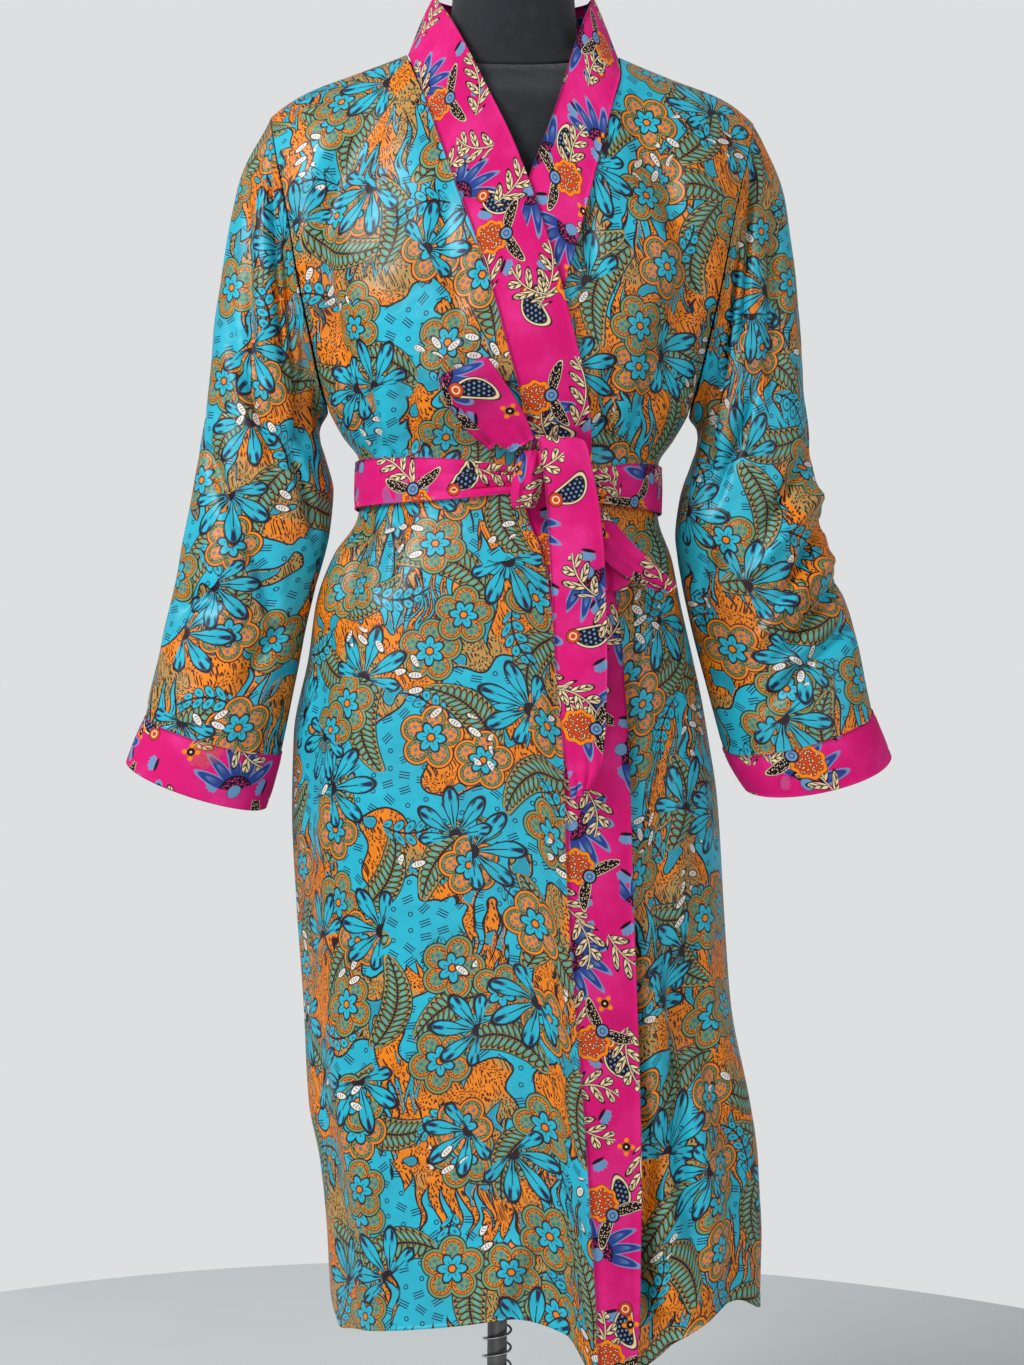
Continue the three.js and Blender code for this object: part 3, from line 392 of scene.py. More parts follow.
def depth(x: Array, z: Array, face: Face) -> Array:
    """Depth of the robe's inner face at a place across and up."""
    left, right = LEFT_AT(z), RIGHT_AT(z)
    across = np.clip(np.abs(x - (left + right) / 2) / ((right - left) / 2), 0, 1)
    profile = (1 - across**POWER) ** (1 / POWER)
    roll = ROLL_FRONT if face is Face.FRONT else ROLL_BACK
    below = np.where(z > UNDERARM_Z, np.clip((shoulder_z(x) - z) / roll, 0, 1), 1.0)
    return DEPTH_AT[face](z) * profile * np.sqrt(1 - (1 - below) ** 2)


def skirt_fold(turn: Array, z: Array) -> Array:
    """How far the skirt's large folds push the cloth outwards."""
    total = np.zeros(np.broadcast(turn, z).shape)
    for place, width, deep, low, high in SKIRT_FOLDS:
        away = turn - place
        away = away - np.round(away)
        total -= deep * smooth(high, low + 0.35 * (high - low), z) * np.exp(-((away / width) ** 2))
    return total


def section(turn: Array, z: Array, out: Array | float) -> Array:
    """Point of the robe's section: turn 0 at the left side, 0.25 in front, 0.5 right, 0.75 behind."""
    turn, z = np.broadcast_arrays(np.asarray(turn, float), np.asarray(z, float))
    left, right = LEFT_AT(z), RIGHT_AT(z)
    middle, half = (left + right) / 2, (right - left) / 2
    angle = math.pi * (1 - 2 * turn)
    c, s = np.cos(angle), np.sin(angle)
    deep = np.where(s >= 0, DEPTH_AT[Face.FRONT](z), DEPTH_AT[Face.BACK](z))
    x = middle + half * np.sign(c) * np.abs(c) ** (2 / POWER)
    y = -np.sign(s) * deep * np.abs(s) ** (2 / POWER)
    push = out + skirt_fold(turn, z)
    length = np.hypot(c / half, s / deep)
    return np.stack([x + push * c / half / length, y - push * s / deep / length, z], axis=-1)


def turn_at(x: Array, z: Array) -> Array:
    """The turn at which the front of the section passes a place across."""
    left, right = LEFT_AT(z), RIGHT_AT(z)
    across = np.clip((x - (left + right) / 2) / ((right - left) / 2), -1, 1)
    angle = np.arccos(np.sign(across) * np.abs(across) ** (POWER / 2))
    return (math.pi - angle) / (2 * math.pi)


class BandTable:
    """The seam and free edge of one front band."""

    def __init__(self, table: tuple) -> None:
        """Fill in the free edge's depth where it lies on the robe."""
        seam_x, seam_z, free_x, free_z = (np.array([row[k] for row in table], float) for k in range(4))
        self.standing = sum(row[4] is not None for row in table)
        self.count = len(table) - 1
        lying = front_point(free_x, free_z, 0.0)[:, 1]
        free_y = np.array([-lying[i] if row[4] is None else row[4] for i, row in enumerate(table)])
        index = np.arange(len(table))
        self.place = Curve(-seam_z, index)
        self.rows = Curve(index, np.stack([free_x, free_z, free_y], axis=-1))
        self.seam = Curve(seam_z, seam_x)
        self.free = Curve(free_z, free_x)

    def row_at(self, z: Array) -> tuple[Array, Array]:
        """Place in the table and free edge for a seam height."""
        place = self.place(-z)
        return place, self.rows(place)


def front_point(x: Array, z: Array, out: Array | float) -> Array:
    """Point of the front at a place across and up."""
    x, z = np.broadcast_arrays(np.asarray(x, float), np.asarray(z, float))
    high = np.stack([x, -depth(x, z, Face.FRONT) - out, z], axis=-1)
    low = section(turn_at(x, z), z, out)
    return np.where((z >= UNDERARM_Z)[..., None], high, low)


RIGHT_BAND = BandTable(BAND_RIGHT)
LEFT_BAND = BandTable(BAND_LEFT)


def no_lift(x: Array, z: Array) -> Array:
    """The wearer's left front lies on the base surface."""
    return np.zeros(np.broadcast(x, z).shape)


def band_lift(x: Array, z: Array) -> Array:
    """Lift of the upper band above the front below it."""
    return LIFT * smooth(1400, 1320, z) + 0 * x


def right_lift(x: Array, z: Array) -> Array:
    """Lift of the wearer's right front above the left one."""
    end = np.minimum(RIGHT_BAND.seam(z), LEFT_BAND.free(z)) - 20
    return LIFT * smooth(1400, 1320, z) * smooth(end - 44, end, x)


def yoke_z(x: Array, start: Array | float, row: Array) -> Array:
    """Height of a row of the yoke, where rows close up at the shoulder."""
    top = shoulder_z(x)
    s = start + (1 - start) * row
    return top - (top - UNDERARM_Z) * s * s


def armhole_at(row: Array) -> tuple[Array, Array]:
    """Distance from the middle and height of the armhole seam at a row of the yoke."""
    z = np.full(np.shape(row), SHOULDER_TOP)
    for _ in range(10):
        x = ARMHOLE_AT(z)
        z = yoke_z(x, 0.0, row)
    return x, z


def start_below(x: Array) -> Array:
    """How far the back's top edge lies below the shoulder line, where the neckline cuts into it."""
    y = NECK_BACK * np.sqrt(np.clip(1 - (x / NECK_HALF) ** 2, 0, 1))
    below = np.zeros(np.shape(x))
    for _ in range(12):
        share = np.clip(y / DEPTH_AT[Face.BACK](shoulder_z(x) - below), 0, 0.97)
        below = ROLL_BACK * (1 - np.sqrt(1 - share * share))
    return below


@dataclass(frozen=True)
class Crease:
    """A soft trough (or a ridge, with a negative depth) along a line in front view, in millimetres."""

    x0: float
    z0: float
    x1: float
    z1: float
    width: float
    depth: float


def crease_sum(creases: tuple[Crease, ...], x: Array, z: Array) -> Array:
    """Inward push of several creases.

    Args:
        creases: The lines with their widths and depths.
        x: Places across.
        z: Places up.

    Returns:
        The distance inwards at each place.
    """
    total = np.zeros(np.broadcast(x, z).shape)
    for c in creases:
        dx, dz = c.x1 - c.x0, c.z1 - c.z0
        size = math.hypot(dx, dz)
        t = ((x - c.x0) * dx + (z - c.z0) * dz) / size**2
        bow = 0.06 * size * np.sin(math.pi * np.clip(t, 0, 1))
        away = ((x - c.x0) * dz - (z - c.z0) * dx) / size - bow
        ends = smooth(-0.05, 0.3, t) * smooth(1.05, 0.65, t)
        total += c.depth * ends * np.exp(-((away / c.width) ** 2))
    return total


def drift(x: Array, z: Array, seed: float, size: float) -> Array:
    """Slow uneven swell of cloth, about one millimetre high."""
    a = np.sin(x / (31 * size) + seed) * np.sin(z / (83 * size) + 1.7 * seed)
    b = np.sin((x + 0.6 * z) / (47 * size) + 2.3 * seed) * np.sin((z - 0.4 * x) / (61 * size) + seed)
    c = np.sin((x - 0.8 * z) / (19 * size) + 0.7 * seed) * np.sin((z + 0.3 * x) / (39 * size) + 3.1 * seed)
    return 0.5 * a + 0.4 * b + 0.25 * c


def normals_of(grid: Array, closed: bool, flip: bool) -> Array:
    """Unit normals of a grid of points."""
    down = np.gradient(grid, axis=0)
    if closed:
        over = np.roll(grid, -1, axis=1) - np.roll(grid, 1, axis=1)
    else:
        over = np.gradient(grid, axis=1)
    normal = np.cross(down, over)
    normal /= np.maximum(np.linalg.norm(normal, axis=-1, keepdims=True), 1e-9)
    return -normal if flip else normal


def lengths(grid: Array, axis: int) -> Array:
    """Distance along each row or column of a grid, from its first point."""
    step = np.linalg.norm(np.diff(grid, axis=axis), axis=-1)
    zero = np.zeros_like(np.take(step, [0], axis=axis))
    return np.cumsum(np.concatenate([zero, step], axis=axis), axis=axis)


def hem_groove(grid: Array) -> Array:
    """Inward push along the line where the hem is sewn."""
    up = lengths(grid, 0)
    return 0.7 * np.exp(-(((up[-1:] - up - HEM_HEIGHT) / 1.4) ** 2))


class ClothMesh:
    """A thin sheet with an outer face, an inner face and a rounded edge."""

    OUTER = (0.004, 0.736)
    INNER = (0.744, 0.936)
    EDGE = (0.944, 0.996)

    def __init__(
        self,
        name: str,
        grid: Array,
        thickness: float,
        cloth: Array,
        closed: bool = False,
        flip: bool = False,
    ) -> None:
        """Take the sheet's inner face.

        Args:
            name: Name of the piece.
            grid: Rows and columns of points in millimetres.
            thickness: Thickness of the sheet in millimetres.
            cloth: Place of each point in the flat cloth, in millimetres, one column more if closed.
            closed: Whether the last column joins the first.
            flip: Whether the outer face is on the other side.
        """
        self.name, self.grid, self.thickness = name, grid, thickness
        self.cloth, self.closed, self.flip = cloth, closed, flip
        self.normal = normals_of(grid, closed, flip)

    def build(self) -> bpy.types.Object:
        """Make the mesh, in metres, with its bake map and its cloth map."""
        rows, columns = self.grid.shape[:2]
        spans = columns if self.closed else columns - 1
        outer = self.grid + self.normal * self.thickness
        count = rows * columns
        points = [outer.reshape(-1, 3), self.grid.reshape(-1, 3)]
        i, j = np.meshgrid(np.arange(rows - 1), np.arange(spans), indexing="ij")
        i, j = i.ravel(), j.ravel()
        corners = ((i, j), (i + 1, j), (i + 1, j + 1), (i, j + 1))
        faces, bake, flat = [], [], []
        for base, (low, high), turned in ((0, self.OUTER, False), (count, self.INNER, True)):
            order = corners if not turned else corners[::-1]
            faces.append(np.stack([base + a * columns + (b % columns) for a, b in order], axis=-1))
            u = [low + (high - low) * b / spans for _, b in order]
            v = [0.004 + 0.992 * (1 - a / (rows - 1)) for a, _ in order]
            bake.append(np.stack([np.stack(u, -1), np.stack(v, -1)], axis=-1))
            flat.append(np.stack([self.cloth[a, b] for a, b in order], axis=1))
        loops = self._edge_loops(rows, columns, spans)
        start = 2 * count
        share = 0.004
        total = sum(len(loop) for loop, _ in loops)
        for loop, outward in loops:
            a, b = loop[:, 0], loop[:, 1]
            edge_out = outer[a, b % columns]
            edge_in = self.grid[a, b % columns]
            rim = (edge_out + edge_in) / 2 + outward * self.thickness * 0.35
            points.append(rim)
            n = len(loop)
            k = np.arange(n - 1)
            out_id, in_id = a * columns + b % columns, count + a * columns + b % columns
            rim_id = start + np.arange(n)
            size = 0.992 * n / total
            v0, v1 = share + size * k / n, share + size * (k + 1) / n
            x0, x1, x2 = self.EDGE[0], sum(self.EDGE) / 2, self.EDGE[1]
            cloth = self.cloth[a, b]
            for first, second, ua, ub in ((out_id, rim_id, x0, x1), (rim_id, in_id, x1, x2)):
                faces.append(np.stack([first[k], first[k + 1], second[k + 1], second[k]], axis=-1))
                quad = [np.stack([np.full(n - 1, ua), v0], -1), np.stack([np.full(n - 1, ua), v1], -1)]
                quad += [np.stack([np.full(n - 1, ub), v1], -1), np.stack([np.full(n - 1, ub), v0], -1)]
                bake.append(np.stack(quad, axis=1))
                flat.append(np.stack([cloth[k], cloth[k + 1], cloth[k + 1], cloth[k]], axis=1))
            start += n
            share += size
        parts = (points, faces, bake, flat)
        return self._object(*(np.concatenate(part) for part in parts))

    def _edge_loops(self, rows: int, columns: int, spans: int) -> list[tuple[Array, Array]]:
        """The free edges as lists of places in the grid, each with its way outwards."""
        down = np.gradient(self.grid, axis=0)
        down /= np.maximum(np.linalg.norm(down, axis=-1, keepdims=True), 1e-9)
        j = np.arange(spans + 1)
        first = np.stack([np.zeros_like(j), j], -1)
        last = np.stack([np.full_like(j, rows - 1), j], -1)
        if self.closed:
            wrap = j % columns
            return [(first[::-1], -down[0, wrap][::-1]), (last, down[-1, wrap])]
        over = np.gradient(self.grid, axis=1)
        over /= np.maximum(np.linalg.norm(over, axis=-1, keepdims=True), 1e-9)
        i = np.arange(rows)
        left = np.stack([i, np.zeros_like(i)], -1)
        right = np.stack([i, np.full_like(i, columns - 1)], -1)
        loop = np.concatenate([last, right[::-1][1:], first[::-1][1:], left[1:]])
        outward = np.concatenate([down[-1], over[::-1, -1][1:], -down[0, ::-1][1:], -over[1:, 0]])
        return [(loop, outward)]

    def _object(self, points: Array, faces: Array, bake: Array, flat: Array) -> bpy.types.Object:
        """Put the arrays into a mesh object."""
        if self.flip:
            faces, bake, flat = faces[:, ::-1], bake[:, ::-1], flat[:, ::-1]
        mesh = bpy.data.meshes.new(self.name)
        mesh.from_pydata((points * MM).tolist(), [], faces.tolist())
        for title, values in (("OFBake", bake), ("Cloth", flat * MM)):
            layer = mesh.uv_layers.new(name=title)
            layer.data.foreach_set("uv", np.ascontiguousarray(values, dtype=np.float32).ravel())
        mesh.polygons.foreach_set("use_smooth", np.ones(len(faces), dtype=bool))
        mesh.update()
        piece = bpy.data.objects.new(self.name, mesh)
        bpy.context.collection.objects.link(piece)
        return piece


def loft(name: str, rings: Array, cap: bool = True) -> bpy.types.Object:
    """A closed body through rings of points in millimetres, with a bake map.

    Args:
        name: Name of the piece.
        rings: Rings of points, lowest first.
        cap: Whether the ends are closed.

    Returns:
        The new object.
    """
    rows, columns = rings.shape[:2]
    points = rings.reshape(-1, 3)
    i, j = np.meshgrid(np.arange(rows - 1), np.arange(columns), indexing="ij")
    i, j = i.ravel(), j.ravel()
    order = ((i, j), (i, j + 1), (i + 1, j + 1), (i + 1, j))
    faces = np.stack([a * columns + b % columns for a, b in order], axis=-1).tolist()
    corners = [
        np.stack([0.004 + 0.7 * b / columns, 0.004 + 0.992 * a / (rows - 1)], -1) for a, b in order
    ]
    uv = np.stack(corners, axis=1)
    around = lengths(np.concatenate([rings, rings[:, :1]], axis=1), 1)
    up = lengths(rings, 0)
    flat = np.stack([np.stack([around[a, b], up[a, b % columns]], -1) for a, b in order], axis=1)
    uv, flat = uv.reshape(-1, 2).tolist(), (flat * MM).reshape(-1, 2).tolist()
    if cap:
        for row, middle_v, turned in ((0, 0.25, True), (rows - 1, 0.75, False)):
            centre = len(points)
            points = np.concatenate([points, rings[row].mean(axis=0)[None]])
            for k in range(columns):
                a, b = row * columns + k, row * columns + (k + 1) % columns
                turn_a, turn_b = 2 * math.pi * k / columns, 2 * math.pi * (k + 1) / columns
                edge = [(0.85 + 0.13 * math.cos(t), middle_v + 0.2 * math.sin(t)) for t in (turn_a, turn_b)]
                flat_edge = [(points[q][0] * MM, points[q][1] * MM) for q in (a, b)]
                flat_middle = (points[centre][0] * MM, points[centre][1] * MM)
                middle = (0.85, middle_v)
                if turned:
                    faces.append([centre, b, a])
                    uv += [middle, edge[1], edge[0]]
                    flat += [flat_middle, flat_edge[1], flat_edge[0]]
                else:
                    faces.append([centre, a, b])
                    uv += [middle, edge[0], edge[1]]
                    flat += [flat_middle, flat_edge[0], flat_edge[1]]
    mesh = bpy.data.meshes.new(name)
    mesh.from_pydata((points * MM).tolist(), [], faces)
    for title, values in (("OFBake", uv), ("Cloth", flat)):
        layer = mesh.uv_layers.new(name=title)
        layer.data.foreach_set("uv", np.asarray(values, dtype=np.float32).ravel())
    mesh.polygons.foreach_set("use_smooth", np.ones(len(faces), dtype=bool))
    mesh.update()
    piece = bpy.data.objects.new(name, mesh)
    bpy.context.collection.objects.link(piece)
    return piece


# Shader maths



def tint(red: int, green: int, blue: int) -> tuple[float, float, float, float]:
    """A colour given as the eye's 0 to 255 numbers."""
    lin = [c / 255 / 12.92 if c <= 10 else ((c / 255 + 0.055) / 1.055) ** 2.4 for c in (red, green, blue)]
    return (lin[0], lin[1], lin[2], 1.0)


class Graph:
    """The nodes of one material."""

    def __init__(self, name: str) -> None:
        """Start an empty node material."""
        self.material = bpy.data.materials.new(name)
        self.material.use_nodes = True
        self.tree = self.material.node_tree
        self.tree.nodes.clear()

    def node(self, kind: str, settings: dict | None = None, inputs: dict | None = None) -> bpy.types.Node:
        """Add a node.

        Args:
            kind: The node's type.
            settings: Properties that are set first.
            inputs: Values or links by socket name or number.

        Returns:
            The node.
        """
        made = self.tree.nodes.new(kind)
        for key, value in (settings or {}).items():
            setattr(made, key, value)
        for key, value in (inputs or {}).items():
            socket = made.inputs[key]
            if isinstance(value, Value):
                self.tree.links.new(value.socket, socket)
            elif isinstance(value, bpy.types.NodeSocket):
                self.tree.links.new(value, socket)
            else:
                socket.default_value = value
        return made

    def maths(self, operation: str, *values: "Value | float") -> "Value":
        """A Math node on values."""
        made = self.node("ShaderNodeMath", {"operation": operation}, dict(enumerate(values)))
        return Value(self, made.outputs[0])

    def mix(self, mask: "Value | float", low, high) -> bpy.types.NodeSocket:
        """One colour laid over another through a mask."""
        made = self.node("ShaderNodeMix", {"data_type": "RGBA"}, {0: mask, 6: low, 7: high})
        return made.outputs[2]

    def span(
        self, value: "Value", low: float, high: float, to_low: float = 0.0, to_high: float = 1.0
    ) -> "Value":
        """A soft step of a value between two limits."""
        made = self.node(
            "ShaderNodeMapRange",
            {"interpolation_type": "SMOOTHSTEP"},
            {"Value": value, "From Min": low, "From Max": high, "To Min": to_low, "To Max": to_high},
        )
        return Value(self, made.outputs[0])

    def inside(self, distance: "Value", soft: float = 0.00035) -> "Value":
        """Mask of the places where a distance is below zero."""
        return self.span(distance, -soft, soft, 1.0, 0.0)

    def line(self, distance: "Value", half: float, soft: float = 0.0003) -> "Value":
        """Mask of a line of some half width where a distance is zero."""
        return self.inside(distance.size() - half, soft)

    def vector(
        self, x: "Value | float", y: "Value | float", z: "Value | float" = 0.0
    ) -> bpy.types.NodeSocket:
        """Three numbers as a vector."""
        return self.node("ShaderNodeCombineXYZ", None, {0: x, 1: y, 2: z}).outputs[0]

    def cloth(self) -> tuple["Value", "Value"]:
        """Place in the flat cloth, in metres."""
        uv = self.node("ShaderNodeUVMap", {"uv_map": "Cloth"})
        parts = self.node("ShaderNodeSeparateXYZ", None, {0: uv.outputs[0]})
        return Value(self, parts.outputs[0]), Value(self, parts.outputs[1])

    def noise(
        self, x: "Value", y: "Value", scale: float, detail: float = 1.0, seed: float = 0.0
    ) -> "Value":
        """Soft noise over the cloth."""
        made = self.node(
            "ShaderNodeTexNoise",
            {"noise_dimensions": "3D"},
            {"Vector": self.vector(x, y, seed), "Scale": scale, "Detail": detail, "Roughness": 0.5},
        )
        return Value(self, made.outputs[0])

    def cells(self, x: "Value", y: "Value", scale: float, seed: float = 0.0) -> tuple["Value", "Value"]:
        """Distance to the nearest of scattered points, and a random number of its own."""
        made = self.node(
            "ShaderNodeTexVoronoi",
            {"voronoi_dimensions": "2D", "feature": "F1"},
            {"Vector": self.vector(x + seed, y + seed), "Scale": scale},
        )
        parts = self.node("ShaderNodeSeparateColor", None, {0: made.outputs["Color"]})
        return Value(self, made.outputs["Distance"]), Value(self, parts.outputs[0])

    def finish(self, **sockets) -> bpy.types.Material:
        """Join a Principled shader to the output.

        Args:
            **sockets: Socket names with spaces as underscores, and their values or links.

        Returns:
            The material.
        """
        names = {key.replace("_", " "): value for key, value in sockets.items()}
        shader = self.node("ShaderNodeBsdfPrincipled", None, names)
        self.node("ShaderNodeOutputMaterial", None, {"Surface": shader.outputs[0]})
        return self.material

    def bump(self, height: "Value", distance: float, strength: float = 1.0) -> bpy.types.NodeSocket:
        """Relief from a height."""
        inputs = {"Height": height, "Distance": distance, "Strength": strength}
        made = self.node("ShaderNodeBump", None, inputs)
        return made.outputs[0]


class Value:
    """A number of a shader, written as a number in an expression."""

    def __init__(self, graph: Graph, socket: bpy.types.NodeSocket) -> None:
        """Keep the socket that carries the number."""
        self.graph, self.socket = graph, socket

    def __add__(self, other: "Value | float") -> "Value":
        """Sum."""
        return self.graph.maths("ADD", self, other)

    __radd__ = __add__

    def __sub__(self, other: "Value | float") -> "Value":
        """Difference."""
        return self.graph.maths("SUBTRACT", self, other)

    def __rsub__(self, other: float) -> "Value":
        """Reflected difference."""
        return self.graph.maths("SUBTRACT", other, self)

    def __mul__(self, other: "Value | float") -> "Value":
        """Product."""
        return self.graph.maths("MULTIPLY", self, other)

    __rmul__ = __mul__

    def __truediv__(self, other: "Value | float") -> "Value":
        """Quotient."""
        return self.graph.maths("DIVIDE", self, other)

    def __rtruediv__(self, other: float) -> "Value":
        """Reflected quotient."""
        return self.graph.maths("DIVIDE", other, self)

    def __pow__(self, other: float) -> "Value":
        """Power."""
        return self.graph.maths("POWER", self, other)

    def __neg__(self) -> "Value":
        """Opposite."""
        return self.graph.maths("MULTIPLY", self, -1.0)

    def size(self) -> "Value":
        """Absolute value."""
        return self.graph.maths("ABSOLUTE", self)

    def floor(self) -> "Value":
        """Whole part."""
        return self.graph.maths("FLOOR", self)

    def part(self) -> "Value":
        """Part after the point."""
        return self.graph.maths("FRACT", self)

    def root(self) -> "Value":
        """Square root."""
        return self.graph.maths("SQRT", self)

    def sine(self) -> "Value":
        """Sine."""
        return self.graph.maths("SINE", self)

    def cosine(self) -> "Value":
        """Cosine."""
        return self.graph.maths("COSINE", self)

    def least(self, other: "Value | float") -> "Value":
        """The smaller of two."""
        return self.graph.maths("MINIMUM", self, other)

    def most(self, other: "Value | float") -> "Value":
        """The larger of two."""
        return self.graph.maths("MAXIMUM", self, other)

    def over(self, limit: float) -> "Value":
        """1 above a limit, otherwise 0."""
        return self.graph.maths("GREATER_THAN", self, limit)


@dataclass
class Motif:
    """The local place inside one cell of a scattered motif."""

    x: Value
    y: Value
    chance: Value
    spare: Value

    def radius(self) -> Value:
        """Distance from the motif's middle."""
        return (self.x * self.x + self.y * self.y).root()

    def angle(self) -> Value:
        """Direction from the motif's middle."""
        return self.x.graph.maths("ARCTAN2", self.y, self.x)

    def petal(self, count: float, turn: Value | float = 0.0) -> tuple[Value, Value]:
        """Place along and across the nearest of several petals round the middle."""
        step = 2 * math.pi / count
        folded = (((self.angle() + turn) / step + 0.5).part() - 0.5) * step
        r = self.radius()
        return r * folded.cosine(), r * folded.sine()


def scatter(
    graph: Graph,
    x: Value,
    y: Value,
    across: float,
    along_: float,
    jitter: float,
    seed: float,
    turn: float = 6.283,
) -> Motif:
    """Motifs on a half-dropped lattice, each moved and turned a little.

    Args:
        graph: The material's nodes.
        x: Place across the cloth.
        y: Place along the cloth.
        across: Pitch across.
        along_: Pitch along.
        jitter: How far a motif may move from its cell's middle.
        seed: Number that makes this lattice differ from others.
        turn: How far a motif may turn, in radians.

    Returns:
        The local place in the cell, with two random numbers.
    """
    column = (x / across + seed).floor()
    drop = (column * 0.5).part()
    row_place = y / along_ + drop + seed * 1.7
    row = row_place.floor()
    made = graph.node(
        "ShaderNodeTexWhiteNoise", {"noise_dimensions": "3D"}, {"Vector": graph.vector(column, row, seed)}
    )
    parts = graph.node("ShaderNodeSeparateColor", None, {0: made.outputs["Color"]})
    a, b, c = (Value(graph, parts.outputs[k]) for k in range(3))
    local_x = (x / across + seed - column - 0.5) * across + (a - 0.5) * (2 * jitter)
    local_y = (row_place - row - 0.5) * along_ + (b - 0.5) * (2 * jitter)
    angle = (c - 0.5) * turn
    cos, sin = angle.cosine(), angle.sine()
    spare = (a * 7.3 + b * 3.1).part()
    chance = Value(graph, made.outputs[0])
    return Motif(local_x * cos - local_y * sin, local_x * sin + local_y * cos, chance, spare)


class Ink(Enum):
    """Colours of the two prints; ROSE also paints the velvet's lighter patches of painted sheen."""

    TURQUOISE = tint(30, 184, 210)
    TEAL = tint(30, 118, 140)
    NAVY = tint(16, 26, 70)
    ORANGE = tint(244, 134, 8)
    SAGE = tint(122, 152, 104)
    PLUM = tint(26, 8, 28)
    BROWN = tint(58, 22, 10)
    WHITE = tint(246, 242, 232)
    MAGENTA = tint(210, 16, 110)
    ROSE = tint(224, 46, 134)
    WINE = tint(132, 8, 66)
    BLACK = tint(24, 16, 26)
    CREAM = tint(232, 208, 164)
    RUST = tint(200, 66, 22)
    COBALT = tint(42, 62, 134)
    SLATE = tint(104, 144, 186)


class Painter:
    """A print built up in layers of ink."""

    def __init__(self, graph: Graph, ground) -> None:
        """Start from the colour of the bare cloth."""
        self.graph, self.colour = graph, ground

    def lay(self, mask: Value, ink) -> None:
        """Lay an ink through a mask."""
        self.colour = self.graph.mix(mask, self.colour, ink.value if isinstance(ink, Enum) else ink)

    def shape(self, distance: Value, ink, outline, width: float, shown: Value | float = 1.0) -> None:
        """Lay a shape with an outline, where its distance is below zero."""
        self.lay(self.graph.inside(distance - width) * shown, outline)
        self.lay(self.graph.inside(distance) * shown, ink)


def ellipse(x: Value, y: Value, half_x: float | Value, half_y: float | Value) -> Value:
    """Rough distance from the rim of an ellipse, in metres."""
    a, b = x / half_x, y / half_y
    return ((a * a + b * b).root() - 1.0) * half_y


